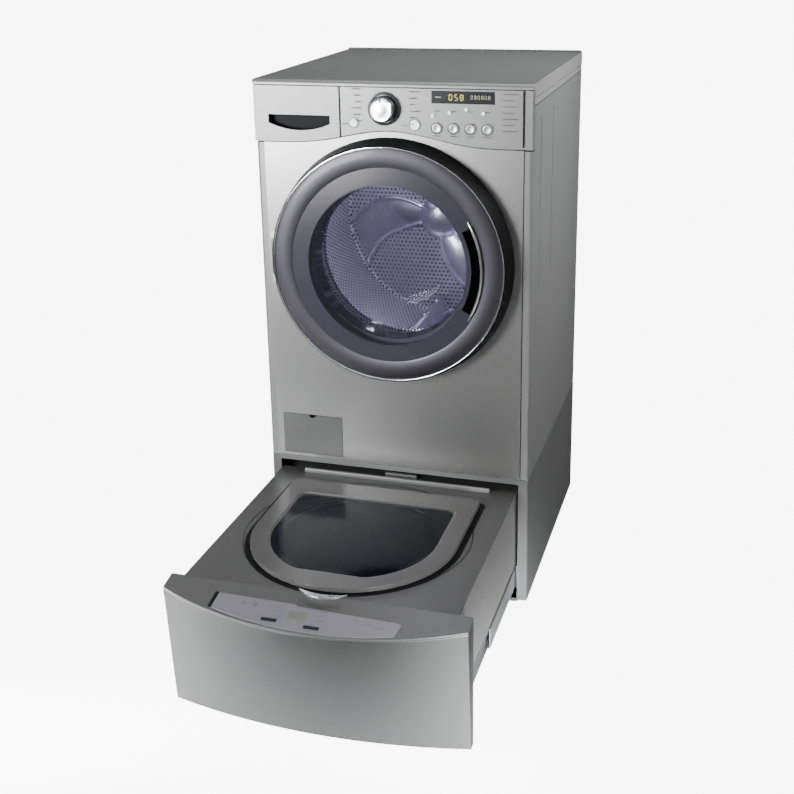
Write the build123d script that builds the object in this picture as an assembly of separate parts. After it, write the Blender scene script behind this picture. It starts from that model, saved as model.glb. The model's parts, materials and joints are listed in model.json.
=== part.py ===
from build123d import *
import math
import os

# Front load washing machine standing on a drawer-type mini washer.
# The y = 0 plane of the modelling functions is the flat front of both cabinets, -Y is the
# user's side, z = 0 is the floor. save() shifts everything by FRONT_Y, which puts the row's
# origin at the middle of the floor area that the machine covers with its drawer pulled out.

# Driving dimensions, in millimetres
WIDTH = 686.0
DEPTH = 715.0
PEDESTAL_HEIGHT = 355.0
HEIGHT = 1340.0
FRONT_Y = -10.5
SHEET = 2.0

HALF = WIDTH / 2
BASE_Z = PEDESTAL_HEIGHT + 3
TOP_SEAM_Z = 1303.0
NOSE_Z = 1323.0
TOP_Z = HEIGHT - 4
PANEL_Y = -8.0
PANEL_BACK_Y = 16.0
PANEL_WALL = 3.0
SEAM_SIDE_Z = 1185.0
SEAM_SHOULDER_Z = 1193.0
SEAM_PEAK_Z = 1219.0
SEAM_GAP = 1.5
FRONT_HALF = 321.0

DISPENSER_LEFT = -341.0
DISPENSER_RIGHT = -122.0
PANEL_LEFT = -119.0
HOUSING_X = (-320.0, -148.0)
HOUSING_Z = (1192.0, 1296.0)
HOUSING_Y = (24.0, 270.0)
TRAY_END_Y = 252.0

KNOB_X = -10.0
KNOB_Z = 1273.0
KNOB_R = 31.0
BEZEL_R = 39.0
KNOB_SHAFT_R = 4.0
POWER_BUTTON = (-86.0, 1238.0, 10.5)
START_BUTTON = (64.0, 1237.0, 12.0)
OPTION_BUTTON_X = (117.0, 157.0, 197.0, 237.0)
OPTION_BUTTON_Z = 1231.0
OPTION_BUTTON_R = 12.0
DISPLAY = (105.0, 254.0, 1289.0, 1317.0)

DOOR_Z = 901.0
DOOR_BASE_R = 303.0
DOOR_RIM_R = 291.5
DOOR_BACK_Y = -3.0
DOOR_FRONT_Y = -47.0
COVER_R = 287.3
OPENING_R = 250.0
HINGE_X = -300.0
HINGE_Y = -14.0
HINGE_PIN_R = 4.0
HANDLE_R = (229.0, 240.0)
HANDLE_ANGLE = 31.0
POCKET_R = (209.0, 243.0)
POCKET_ANGLE = 27.0
HOOK_X = 272.5
HOOK_PIN_R = 1.5

DRUM_R = 272.0
DRUM_Y = (95.0, 470.0)
DRUM_MOUTH_R = 206.0
TUB_R = 296.0
TUB_INNER_R = 288.0
TUB_SPLIT_Y = 260.0
TUB_Y = (70.0, 520.0)
SHAFT_R = 15.0
BEARING_R = 36.0
HUB_END_Y = 562.0

PUMP_X = -223.0
PUMP_Z = 419.0
PUMP_BORE_R = 37.0
ACCESS = (-304.0, -142.0, 365.4, 475.4)
ACCESS_PIVOT = (1.3, 368.8)
ACCESS_PIN_R = 1.2

INLET_X = (-285.0, -235.0)
INLET_Z = 1265.0
INLET_R = 13.2
STUB_Y = DEPTH + 0.5
REAR_END_Y = DEPTH + 12
DRAIN_X = 280.0
DRAIN_Z = 430.0
DRAIN_R = 15.0

SPRING_X = 250.0
SPRING_Y = 300.0
SPRING_Z = (1100.0, 1240.0)
DAMPER_X = 190.0
DAMPER_Y = (200.0, 420.0)
DAMPER_LUG_Z = 650.0
DAMPER_ROD_R = 6.0

FOOT_Z = 18.0
PEDESTAL_WALL = 2.5
MOUTH_HALF = 317.0
MOUTH_Z = (21.0, 341.0)
DRAWER_HALF = 312.0
DRAWER_KEEL_HALF = 294.0
DRAWER_Y = (-582.0, 40.0)
DRAWER_Z = (26.0, 118.0, 316.0)
DECK_TOP = 321.0
FACIA_END_Y = (-602.0, -628.0)
FACIA_MID_Y = (-644.0, -706.0)
FACIA_BOTTOM = 14.0
CAP_TOP = 322.0
CAP_SLOPE = 0.21
CAP_THICKNESS = 6.0
RAIL_Z = 80.0
RAIL_TRAVEL = 572.0

MINI_Y = -300.0
MINI_TUB_R = 230.0
MINI_BASKET_R = 206.0
MINI_SHAFT_R = 12.0
PULSATOR_SHAFT_R = 6.0
DECK_HOLE_R = 186.0
LID_HALF = 250.0
LID_REAR_Y = -99.0
LID_ARC_Y = -300.0
LID_ARC_R = 256.0
LID_Z = (321.5, 333.0)
LID_GLASS_HALF = 208.0
LID_GLASS_REAR_Y = -155.0
LID_GLASS_FRONT_Y = -474.0
LID_HANDLE_X = 18.0
LID_HANDLE_HALF = 55.0
LID_HANDLE_Y = -521.0
LID_PIVOT = (-88.0, 328.0)
LID_PIN_R = 2.5


def block(x0, x1, y0, y1, z0, z1):
    """A box between two corners."""
    return Pos((x0 + x1) / 2, (y0 + y1) / 2, (z0 + z1) / 2) * Box(x1 - x0, y1 - y0, z1 - z0)


def rod_y(radius, y0, y1, x=0.0, z=DOOR_Z):
    """A cylinder along Y."""
    return Pos(x, (y0 + y1) / 2, z) * Rot(90, 0, 0) * Cylinder(radius, y1 - y0)


def rod_z(radius, z0, z1, x, y):
    """A cylinder along Z."""
    return Pos(x, y, (z0 + z1) / 2) * Cylinder(radius, z1 - z0)


def rod_x(radius, x0, x1, y, z):
    """A cylinder along X."""
    return Pos((x0 + x1) / 2, y, z) * Rot(0, 90, 0) * Cylinder(radius, x1 - x0)


def ring_y(outer, inner, y0, y1, x=0.0, z=DOOR_Z):
    """A flat ring about an axis along Y."""
    return rod_y(outer, y0, y1, x, z) - rod_y(inner, y0 - 1, y1 + 1, x, z)


def turned_y(points):
    """A solid of revolution about the drum's axis, from (radius, y) corners."""
    profile = make_face(Polyline(*points, close=True))
    return Pos(0, 0, DOOR_Z) * revolve(profile, Axis.Y, 360)


def turned_z(points):
    """A solid of revolution about the mini washer's upright axis, from (radius, z) corners."""
    profile = Plane.XZ * make_face(Polyline(*points, close=True))
    return Pos(0, MINI_Y, 0) * revolve(profile, Axis.Z, 360)


def wedge_y(low, high, y0, y1, reach=400.0):
    """A pie slice about the drum's axis between two angles, 0 pointing to +X and 90 up."""
    corners = [(0, 0)]
    for angle in (low, (low + high) / 2, high):
        turn = math.radians(angle)
        corners.append((reach * math.cos(turn), reach * math.sin(turn)))
    face = Plane((0, y1, DOOR_Z), x_dir=(1, 0, 0), z_dir=(0, -1, 0)) * make_face(Polyline(*corners, close=True))
    return extrude(face, y1 - y0)


def both_sides(shape):
    """A shape and its mirror image across the machine's middle, as two solids."""
    return Compound([shape, mirror(shape, Plane.YZ)])


def sum_shapes(shapes):
    """Fuse several shapes into one."""
    shapes = list(shapes)
    total = shapes[0]
    for shape in shapes[1:]:
        total += shape
    return total


def seam_region(offset, upward):
    """Everything above or below the curved seam between the control panel and the front."""
    seam = Spline(
        (-HALF - 10, SEAM_SIDE_Z + offset),
        (-165, SEAM_SHOULDER_Z + offset),
        (0, SEAM_PEAK_Z + offset),
        (165, SEAM_SHOULDER_Z + offset),
        (HALF + 10, SEAM_SIDE_Z + offset),
        tangents=[(1, 0), (1, 0)],
    )
    far = HEIGHT + 50 if upward else 0
    sides = Polyline(seam @ 1, (HALF + 10, far), (-HALF - 10, far), seam @ 0)
    face = Plane.XZ.offset(-60) * make_face([seam, sides])
    return extrude(face, 120)


def facia_outline(share, inset, back):
    """The drawer front's plan, straight behind and bowed in front; share 0 is its foot, 1 its top."""
    end_y = FACIA_END_Y[0] + share * (FACIA_END_Y[1] - FACIA_END_Y[0]) + inset
    mid_y = FACIA_MID_Y[0] + share * (FACIA_MID_Y[1] - FACIA_MID_Y[0]) + inset
    end = (HALF - inset, end_y)
    bow = ThreePointArc((-end[0], end_y), (0, mid_y), end)
    sides = Polyline(end, (end[0], back), (-end[0], back), (-end[0], end_y))
    return make_face([bow, sides])


def facia_body(inset, back):
    """The leaning block between the drawer front's foot and the cap's top."""
    foot = Pos(0, 0, FACIA_BOTTOM) * facia_outline(0, inset, back)
    top = Pos(0, 0, CAP_TOP) * facia_outline(1, inset, back)
    return loft([foot, top])


def above_slope(drop):
    """Everything above the cap's sloping top, lowered by drop."""
    rear, front = DRAWER_Y[0] + 20, FACIA_MID_Y[1] - 20
    low = CAP_TOP - drop - CAP_SLOPE * (DRAWER_Y[0] - front)
    high = CAP_TOP - drop + CAP_SLOPE * (rear - DRAWER_Y[0])
    face = Plane.YZ.offset(-HALF - 20) * make_face(
        Polyline((front, low), (rear, high), (rear, HEIGHT), (front, HEIGHT), close=True)
    )
    return extrude(face, 2 * HALF + 40)


def lid_outline(half, rear, radius):
    """A D-shaped plan: square at the hinge, round towards the user."""
    bow = RadiusArc((half, LID_ARC_Y), (-half, LID_ARC_Y), radius)
    sides = Polyline((-half, LID_ARC_Y), (-half, rear), (half, rear), (half, LID_ARC_Y))
    return make_face([bow, sides])


def cabinet_shell():
    """Wrap-around sheet: two sides with embossed ribs, the rear and the front return flanges."""
    outer = block(-HALF, HALF, 3, DEPTH, BASE_Z, TOP_SEAM_Z - 1)
    outer = fillet(outer.edges().filter_by(Axis.Z), 9)
    inner = block(-HALF + SHEET, HALF - SHEET, 3 + SHEET, DEPTH - SHEET, BASE_Z - 1, TOP_SEAM_Z)
    inner = fillet(inner.edges().filter_by(Axis.Z), 7)
    shell = outer - inner
    shell -= block(-FRONT_HALF - 1, FRONT_HALF + 1, 0, 8, 0, HEIGHT)
    shell -= block(-HALF - 1, HALF + 1, 0, PANEL_BACK_Y + 1, SEAM_SIDE_Z - 3, HEIGHT)
    for side in (-1, 1):
        for rib_y in (90, 250):
            shell -= block(side * HALF - 1, side * HALF + 1, rib_y - 12, rib_y + 12, 830, 1250)
        inner_x = sorted((side * (SPRING_X - 8), side * (HALF - 1)))
        shell += block(*inner_x, SPRING_Y - 12, SPRING_Y + 12, SPRING_Z[1], SPRING_Z[1] + 5)
    for x in INLET_X:
        shell -= rod_y(INLET_R + 2, DEPTH - 10, DEPTH + 1, x, INLET_Z)
    shell -= rod_y(DRAIN_R + 1, DEPTH - 10, DEPTH + 1, DRAIN_X, DRAIN_Z)
    return shell


def base_pan():
    """Floor of the upper cabinet with an upturned rim."""
    pan = block(-HALF + 2, HALF - 2, 6, DEPTH - 2, PEDESTAL_HEIGHT, BASE_Z)
    rim = block(-HALF + 5, HALF - 5, 12, DEPTH - 7, BASE_Z, BASE_Z + 14)
    rim -= block(-HALF + 7, HALF - 7, 14, DEPTH - 9, BASE_Z - 1, BASE_Z + 15)
    return pan + rim


def top_plate():
    """Lid of the cabinet with skirts, a rounded front nose and a raised rail at the rear."""
    plate = block(-HALF, HALF, PANEL_Y, DEPTH, TOP_SEAM_Z, TOP_Z)
    front_top = plate.edges().filter_by(Axis.X).group_by(Axis.Y)[0].sort_by(Axis.Z)[-1]
    plate = fillet(front_top, 9)
    plate -= block(-HALF - 1, HALF + 1, PANEL_Y - 1, PANEL_BACK_Y + 1, TOP_SEAM_Z - 1, NOSE_Z)
    plate -= block(-HALF + 3, HALF - 3, PANEL_BACK_Y + 4, DEPTH - 3, TOP_SEAM_Z - 1, TOP_Z - 3)
    rail = block(-HALF + 2, HALF - 2, DEPTH - 16, DEPTH - 2, TOP_Z, HEIGHT)
    return plate + rail


def front_panel():
    """Pressed front with the door opening, the latch slot and the pump opening."""
    panel = block(-FRONT_HALF, FRONT_HALF, 0, SHEET, BASE_Z, SEAM_PEAK_Z + 5)
    panel &= seam_region(-SEAM_GAP, upward=False)
    panel += ring_y(OPENING_R + SHEET, OPENING_R, SHEET, 20)
    left, right, low, high = ACCESS
    panel += block(left - 2, left, 0, 9, low - 1, high + 1)
    panel += block(right, right + 2, 0, 9, low - 1, high + 1)
    panel -= rod_y(OPENING_R, -1, 21)
    panel -= block(left, right, -1, 10, low, high)
    panel -= block(262, 285, -1, 5, DOOR_Z - 18, DOOR_Z + 18)
    panel -= rod_x(ACCESS_PIN_R + 0.06, left - 3, right + 3, *ACCESS_PIVOT)
    return panel


def control_panel():
    """Hollow control fascia with the knob bezel, button holes and display window."""
    panel = block(PANEL_LEFT, HALF, PANEL_Y, PANEL_BACK_Y, SEAM_SIDE_Z - 5, NOSE_Z - 1)
    panel &= seam_region(SEAM_GAP, upward=True)
    hollow = block(
        PANEL_LEFT + PANEL_WALL, HALF - PANEL_WALL,
        PANEL_Y + PANEL_WALL, PANEL_BACK_Y + 1,
        SEAM_SIDE_Z - 5, NOSE_Z - 1 - PANEL_WALL,
    )
    hollow &= seam_region(SEAM_GAP + PANEL_WALL, upward=True)
    panel -= hollow
    panel += rod_y(BEZEL_R, PANEL_Y - 4, PANEL_Y, KNOB_X, KNOB_Z)
    panel -= rod_y(KNOB_R + 2, PANEL_Y - 5, PANEL_Y - 1, KNOB_X, KNOB_Z)
    panel -= rod_y(KNOB_SHAFT_R + 0.06, PANEL_Y - 5, PANEL_BACK_Y, KNOB_X, KNOB_Z)
    for x, z, radius in all_buttons():
        panel -= rod_y(radius + 0.4, PANEL_Y - 1, PANEL_Y + PANEL_WALL + 1, x, z)
    left, right, low, high = DISPLAY
    panel -= block(left, right, PANEL_Y - 1, PANEL_Y + PANEL_WALL + 1, low, high)
    return panel


def all_buttons():
    """Centre and radius of every push button."""
    options = [(x, OPTION_BUTTON_Z, OPTION_BUTTON_R) for x in OPTION_BUTTON_X]
    return [POWER_BUTTON, START_BUTTON] + options


def display_lens():
    """Smoked window of the display, standing 0.5 mm proud."""
    left, right, low, high = DISPLAY
    return block(left + 0.3, right - 0.3, PANEL_Y - 0.5, PANEL_Y + 2, low + 0.3, high - 0.3)


def push_button(x, z, radius):
    """Round button with a retaining flange behind the fascia."""
    back = PANEL_Y + PANEL_WALL
    cap = rod_y(radius, PANEL_Y - 3.5, back + 0.5, x, z)
    cap = fillet(cap.edges().sort_by(Axis.Y)[0], 1.2)
    flange = rod_y(radius + 2, back + 0.5, back + 2.5, x, z)
    stem = rod_y(3, back + 2.5, back + 8, x, z)
    return cap + flange + stem


def program_knob():
    """Round dial with a pointer groove and its shaft."""
    front = PANEL_Y - 34
    knob = rod_y(KNOB_R, front, PANEL_Y - 2, KNOB_X, KNOB_Z)
    knob = fillet(knob.edges().sort_by(Axis.Y)[0], 3)
    knob -= block(KNOB_X - 2, KNOB_X + 2, front - 1, front + 2, KNOB_Z + 14, KNOB_Z + 28)
    return knob + rod_y(KNOB_SHAFT_R, PANEL_Y - 2, PANEL_Y + 16, KNOB_X, KNOB_Z)


def dispenser_housing():
    """Box that the detergent drawer slides in, open at the front."""
    x0, x1 = HOUSING_X
    y0, y1 = HOUSING_Y
    z0, z1 = HOUSING_Z
    return block(x0, x1, y0, y1, z0, z1) - block(x0 + 2.5, x1 - 2.5, y0 - 1, y1 - 2.5, z0 + 2.5, z1 - 2.5)


def dispenser_front():
    """Left part of the fascia, with the finger pocket that pulls the detergent drawer."""
    front = block(DISPENSER_LEFT, DISPENSER_RIGHT, PANEL_Y, PANEL_BACK_Y, SEAM_SIDE_Z - 5, NOSE_Z - 1)
    front &= seam_region(SEAM_GAP, upward=True)
    pocket = block(-303, -147, PANEL_Y - 1, PANEL_BACK_Y - 3, 1210, 1252)
    pocket &= Pos(-225, 0, 1406) * Rot(90, 0, 0) * Cylinder(190, 80)
    return front - pocket


def dispenser_tray():
    """Sliding detergent tray with three compartments."""
    x0, x1 = HOUSING_X[0] + 6, HOUSING_X[1] - 6
    z0, z1 = HOUSING_Z[0] + 6, 1268
    tray = block(x0, x1, PANEL_BACK_Y, TRAY_END_Y, z0, z1)
    wall = 2.5
    middle = (x0 + x1) / 2 + 14
    tray -= block(x0 + wall, middle - wall, 24, TRAY_END_Y - wall, z0 + wall, z1 + 1)
    tray -= block(middle, x1 - wall, 24, 150, z0 + wall, z1 + 1)
    tray -= block(middle, x1 - wall, 150 + wall, TRAY_END_Y - wall, z0 + wall, z1 + 1)
    return tray


def door_frame():
    """Black cone-shaped door body with the handle pocket, the hinge notch and the hook slot."""
    frame = turned_y([
        (DOOR_BASE_R, DOOR_BACK_Y), (DOOR_RIM_R, DOOR_FRONT_Y), (203, DOOR_FRONT_Y), (203, -20),
        (207, -20), (207, DOOR_FRONT_Y + 4), (288, DOOR_FRONT_Y + 4), (298, -7), (240, -7),
        (240, DOOR_BACK_Y),
    ])
    low, high = POCKET_R
    cup = ring_y(high + 3, low - 2, DOOR_FRONT_Y, -18) & wedge_y(-POCKET_ANGLE - 1, POCKET_ANGLE + 1, -60, 0)
    hollow = ring_y(high, low, DOOR_FRONT_Y - 1, -21) & wedge_y(-POCKET_ANGLE, POCKET_ANGLE, -60, 0)
    frame = frame + cup - hollow
    frame -= block(-320, HINGE_X + 16, -60, 0, DOOR_Z - 72, DOOR_Z + 72)
    frame -= block(262, 285, -10, 0, DOOR_Z - 13, DOOR_Z + 13)
    for low_z in (DOOR_Z - 14, DOOR_Z + 10):
        frame += block(HOOK_X - 5, HOOK_X + 5, -17, -7, low_z, low_z + 4)
    return frame + rod_z(HOOK_PIN_R, DOOR_Z - 12, DOOR_Z + 12, HOOK_X, -12)


def door_cover():
    """Smoked front disc, cut away over the handle pocket."""
    cover = rod_y(COVER_R, DOOR_FRONT_Y - 4, DOOR_FRONT_Y)
    low, high = POCKET_R
    window = ring_y(high, low, -60, -40) & wedge_y(-POCKET_ANGLE, POCKET_ANGLE, -70, -30)
    return cover - window


def door_trim_ring():
    """Thin bright ring around the door's front."""
    return ring_y(292.5, COVER_R + 0.2, DOOR_FRONT_Y - 7, DOOR_FRONT_Y)


def door_glass():
    """Deep glass bowl with a clamping flange."""
    return turned_y([
        (236, -18), (236, -13), (193, -13), (186, 10), (152, 68), (132, 79), (0, 84),
        (0, 79), (129, 74), (148, 64), (181, 8), (187, -18),
    ])


def door_handle():
    """Bright curved grip across the pocket."""
    inner, outer = HANDLE_R
    front = DOOR_FRONT_Y - 12
    foot = DOOR_FRONT_Y - 4
    bar = ring_y(outer, inner, front, front + 6) & wedge_y(-HANDLE_ANGLE, HANDLE_ANGLE, -80, -20)
    feet = ring_y(outer, inner, front + 6, foot)
    upper = feet & wedge_y(POCKET_ANGLE + 1, HANDLE_ANGLE, -80, -20)
    lower = feet & wedge_y(-HANDLE_ANGLE, -POCKET_ANGLE - 1, -80, -20)
    return bar + upper + lower


def hinge_bracket():
    """Two ears on the cabinet front with the door's hinge pin between them."""
    bracket = rod_z(HINGE_PIN_R, DOOR_Z - 64, DOOR_Z + 64, HINGE_X, HINGE_Y)
    for low_z in (DOOR_Z - 65, DOOR_Z + 46):
        bracket += block(HINGE_X - 6, HINGE_X + 6, HINGE_Y - 6, 0, low_z, low_z + 19)
    return bracket


def hinge_arm():
    """Door half of the hinge: a barrel on the pin and a strap to the door body."""
    barrel = rod_z(8, DOOR_Z - 45, DOOR_Z + 45, HINGE_X, HINGE_Y)
    strap = block(HINGE_X + 4, HINGE_X + 64, -13, -7, DOOR_Z - 40, DOOR_Z + 40)
    return barrel + strap - rod_z(HINGE_PIN_R + 0.06, DOOR_Z - 50, DOOR_Z + 50, HINGE_X, HINGE_Y)


def latch_hook():
    """Sprung hook that enters the door lock."""
    hook = rod_z(4, DOOR_Z - 9, DOOR_Z + 9, HOOK_X, -12)
    hook += block(HOOK_X - 2, HOOK_X + 2.5, -12, 16, DOOR_Z - 8, DOOR_Z + 8)
    hook += block(HOOK_X - 6, HOOK_X, 10, 16, DOOR_Z - 8, DOOR_Z + 8)
    return hook - rod_z(HOOK_PIN_R + 0.06, DOOR_Z - 20, DOOR_Z + 20, HOOK_X, -12)


def door_lock():
    """Electric lock behind the front panel, with the hook's slot."""
    lock = block(258, 304, SHEET, 56, DOOR_Z - 36, DOOR_Z + 36)
    return lock - block(262, 285, 0, 34, DOOR_Z - 18, DOOR_Z + 18)


def door_gasket():
    """Rubber bellows from the front panel's opening to the tub's mouth."""
    return turned_y([
        (249.5, 3), (249.5, 14), (243, 17), (243, 62), (238, 69.4), (216, 69.4), (216, 65),
        (233, 64), (238, 58), (238, 22), (190, 26), (190, 22), (236, 15), (236, 3),
    ])


def tub_front():
    """Front half of the tub with the mouth and damper lugs."""
    y0 = TUB_Y[0]
    half = rod_y(TUB_R, y0, TUB_SPLIT_Y) + rod_y(TUB_R + 8, TUB_SPLIT_Y - 8, TUB_SPLIT_Y)
    half += damper_lugs(DAMPER_Y[0])
    half -= rod_y(TUB_INNER_R, y0 + 7, TUB_SPLIT_Y + 1)
    return half - rod_y(218, y0 - 1, y0 + 10)


def damper_lugs(y):
    """Pads under the tub that the damper rods bolt to."""
    return sum_shapes(
        block(side * DAMPER_X - 12, side * DAMPER_X + 12, y - 12, y + 12, DAMPER_LUG_Z, DAMPER_LUG_Z + 30)
        for side in (-1, 1)
    )


def tub_rear():
    """Rear half of the tub with the bearing hub, spring lugs and damper lugs."""
    y1 = TUB_Y[1]
    half = rod_y(TUB_R, TUB_SPLIT_Y, y1) + rod_y(TUB_R + 8, TUB_SPLIT_Y, TUB_SPLIT_Y + 8)
    half += damper_lugs(DAMPER_Y[1])
    for side in (-1, 1):
        x = side * SPRING_X
        half += block(x - 10, x + 10, SPRING_Y - 10, SPRING_Y + 10, DOOR_Z + 120, SPRING_Z[0])
    half -= rod_y(TUB_INNER_R, TUB_SPLIT_Y - 1, y1 - 8)
    half += rod_y(70, y1 - 8, HUB_END_Y)
    half -= rod_y(22, y1 - 20, HUB_END_Y + 1)
    half -= rod_y(BEARING_R + 0.03, y1 - 20, y1 + 8)
    return half - rod_y(BEARING_R + 0.03, HUB_END_Y - 18, HUB_END_Y + 1)


def tub_bearings():
    """The two ball bearings of the drum shaft, as plain rings."""
    front = ring_y(BEARING_R, SHAFT_R + 0.05, TUB_Y[1] - 8, TUB_Y[1] + 8)
    rear = ring_y(BEARING_R, SHAFT_R + 0.05, HUB_END_Y - 18, HUB_END_Y - 2)
    return Compound([front, rear])


def counterweights():
    """Two cast crescents on the tub's front face."""
    ring = ring_y(300, 247, 42, TUB_Y[0])
    upper = ring & wedge_y(35, 145, 0, 100, 700)
    lower = ring & wedge_y(215, 325, 0, 100, 700)
    return Compound([upper, lower])


def drum_shell():
    """Steel drum, open to the door and closed at the rear."""
    y0, y1 = DRUM_Y
    return turned_y([
        (DRUM_R, y0), (DRUM_R, y1), (0, y1), (0, y1 - 3), (DRUM_R - 3, y1 - 3), (DRUM_R - 3, y0 + 3),
        (DRUM_MOUTH_R, y0 + 3), (DRUM_MOUTH_R, y0),
    ])


def drum_lifters():
    """Three paddles on the drum's wall."""
    y0, y1 = DRUM_Y
    paddle = block(-30, 30, y0 + 30, y1 - 20, DOOR_Z - DRUM_R, DOOR_Z - DRUM_R + 46)
    paddle = chamfer(paddle.edges().filter_by(Axis.Y).group_by(Axis.Z)[-1], 16)
    paddle &= rod_y(DRUM_R - 3.05, y0, y1)
    centre = Pos(0, 0, DOOR_Z)
    return Compound([centre * Rot(0, turn, 0) * centre.inverse() * paddle for turn in (0, 120, 240)])


def drum_spider():
    """Three-armed casting behind the drum with the drive shaft."""
    y1 = DRUM_Y[1]
    arm = block(-24, 24, y1, y1 + 12, DOOR_Z, DOOR_Z + DRUM_R - 4)
    centre = Pos(0, 0, DOOR_Z)
    arms = [centre * Rot(0, turn, 0) * centre.inverse() * arm for turn in (0, 120, 240)]
    spider = sum_shapes(arms) & rod_y(DRUM_R - 4, y1, y1 + 12)
    return spider + rod_y(42, y1, y1 + 26) + rod_y(SHAFT_R, y1 + 26, 600)


def motor_stator():
    """Wound ring of the direct-drive motor, bolted to the tub's hub."""
    ring = ring_y(116, 52, HUB_END_Y, HUB_END_Y + 26)
    teeth = [
        Pos(0, 0, DOOR_Z) * Rot(0, 15 * index, 0) * Pos(0, 0, -DOOR_Z)
        * block(-8, 8, HUB_END_Y + 2, HUB_END_Y + 24, DOOR_Z + 110, DOOR_Z + 129)
        for index in range(24)
    ]
    return sum_shapes([ring] + teeth)


def motor_rotor():
    """Cup-shaped outer rotor on the end of the drum shaft."""
    return turned_y([
        (136, HUB_END_Y + 2), (136, 604), (SHAFT_R + 0.03, 604), (SHAFT_R + 0.03, 592), (30, 592),
        (30, 600), (131, 600), (131, HUB_END_Y + 2),
    ])


def suspension_springs():
    """The tub's two hanging springs, as tubes of the coil's outer shape with end hooks."""
    low, high = SPRING_Z
    tube = rod_z(15, low + 14, high - 14, SPRING_X, SPRING_Y) - rod_z(11, low, high, SPRING_X, SPRING_Y)
    caps = rod_z(15, low + 14, low + 18, SPRING_X, SPRING_Y) + rod_z(15, high - 18, high - 14, SPRING_X, SPRING_Y)
    return both_sides(tube + caps + rod_z(2.5, low, low + 16, SPRING_X, SPRING_Y)
                      + rod_z(2.5, high - 16, high, SPRING_X, SPRING_Y))


def damper_cylinders():
    """Four friction damper bodies on the base pan."""
    cylinders = [
        rod_z(14, BASE_Z, 560, side * DAMPER_X, y) - rod_z(DAMPER_ROD_R + 0.08, 440, 561, side * DAMPER_X, y)
        for side in (-1, 1) for y in DAMPER_Y
    ]
    return Compound(cylinders)


def damper_rods():
    """Four rods from the tub's lugs down into the damper bodies."""
    rods = [rod_z(DAMPER_ROD_R, 470, DAMPER_LUG_Z, side * DAMPER_X, y) for side in (-1, 1) for y in DAMPER_Y]
    return Compound(rods)


def drain_pump():
    """Drain pump with the filter's mouth facing the access opening."""
    pump = rod_y(45, 30, 160, PUMP_X, PUMP_Z) + rod_y(30, 160, 182, PUMP_X, PUMP_Z)
    pump += block(PUMP_X - 24, PUMP_X + 24, 60, 140, BASE_Z, PUMP_Z - 30)
    return pump - rod_y(PUMP_BORE_R, 29, 130, PUMP_X, PUMP_Z)


def filter_cap():
    """Screw cap of the lint filter, with its grip."""
    cap = rod_y(PUMP_BORE_R - 0.06, 16, 50, PUMP_X, PUMP_Z)
    grip = block(PUMP_X - 28, PUMP_X + 28, 6, 16, PUMP_Z - 5, PUMP_Z + 5)
    strainer = rod_y(24, 50, 120, PUMP_X, PUMP_Z) - rod_y(21, 52, 121, PUMP_X, PUMP_Z)
    return cap + grip + strainer


def pump_access_door():
    """Flap over the filter, turning on two pins at its lower edge."""
    left, right, low, high = ACCESS
    door = block(left + 0.8, right - 0.8, -1, 2, low + 1.6, high - 0.8)
    door -= rod_y(9, -2, 3, PUMP_X, high)
    for x0, x1 in ((left - 1.8, left + 0.8), (right - 0.8, right + 1.8)):
        door += rod_x(ACCESS_PIN_R, x0, x1, *ACCESS_PIVOT)
    return door


def inlet_valve():
    """Double water valve with two threaded stubs through the rear wall, plain-turned here."""
    valve = block(-305, -215, 640, 700, INLET_Z - 26, INLET_Z + 22)
    for x in INLET_X:
        valve += rod_y(INLET_R - 1.2, 699, STUB_Y, x, INLET_Z)
        valve += rod_y(INLET_R, STUB_Y, REAR_END_Y, x, INLET_Z)
        valve -= rod_y(8, 705, REAR_END_Y + 1, x, INLET_Z)
    return valve


def drain_spigot():
    """Hose spigot of the drain, with a flange inside the rear wall."""
    spigot = rod_y(DRAIN_R - 1.2, 660, STUB_Y, DRAIN_X, DRAIN_Z)
    spigot += rod_y(DRAIN_R, STUB_Y, REAR_END_Y, DRAIN_X, DRAIN_Z)
    spigot += rod_y(24, DEPTH - 6, DEPTH - SHEET, DRAIN_X, DRAIN_Z)
    return spigot - rod_y(12, 659, REAR_END_Y + 1, DRAIN_X, DRAIN_Z)


def pedestal_cabinet():
    """Lower cabinet, open at the front for the drawer."""
    wall = PEDESTAL_WALL
    outer = block(-HALF, HALF, 3, DEPTH, FOOT_Z, PEDESTAL_HEIGHT)
    outer = fillet(outer.edges().filter_by(Axis.Z), 7)
    inner = block(-HALF + wall, HALF - wall, 3 + wall, DEPTH - wall, FOOT_Z + wall, PEDESTAL_HEIGHT - wall)
    return outer - inner - block(-MOUTH_HALF, MOUTH_HALF, 0, 10, *MOUTH_Z)


def pedestal_feet():
    """Four levelling feet."""
    feet = []
    for x in (-300, 300):
        for y in (45, 670):
            feet.append(rod_z(22, 0, 11, x, y) + rod_z(7, 11, FOOT_Z, x, y))
    return Compound(feet)


def channel(x_open, x_web, half_height, wall, y0, y1):
    """C-channel on the right-hand side, open towards the middle of the machine."""
    outer = block(x_open, x_web, y0, y1, RAIL_Z - half_height, RAIL_Z + half_height)
    return outer - block(
        x_open - 1, x_web - wall, y0 - 1, y1 + 1,
        RAIL_Z - half_height + wall, RAIL_Z + half_height - wall,
    )


def rail_outer():
    """Fixed members of the drawer slides with their brackets."""
    rail = channel(304, 316, 30, 2, 10, 600)
    for y in (40, 540):
        rail += block(316, HALF - PEDESTAL_WALL, y, y + 30, RAIL_Z - 20, RAIL_Z + 20)
    return both_sides(rail)


def rail_middle():
    """Middle members, which travel half as far as the drawer."""
    return both_sides(channel(300, 312, 26, 2, -285, 275))


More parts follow.
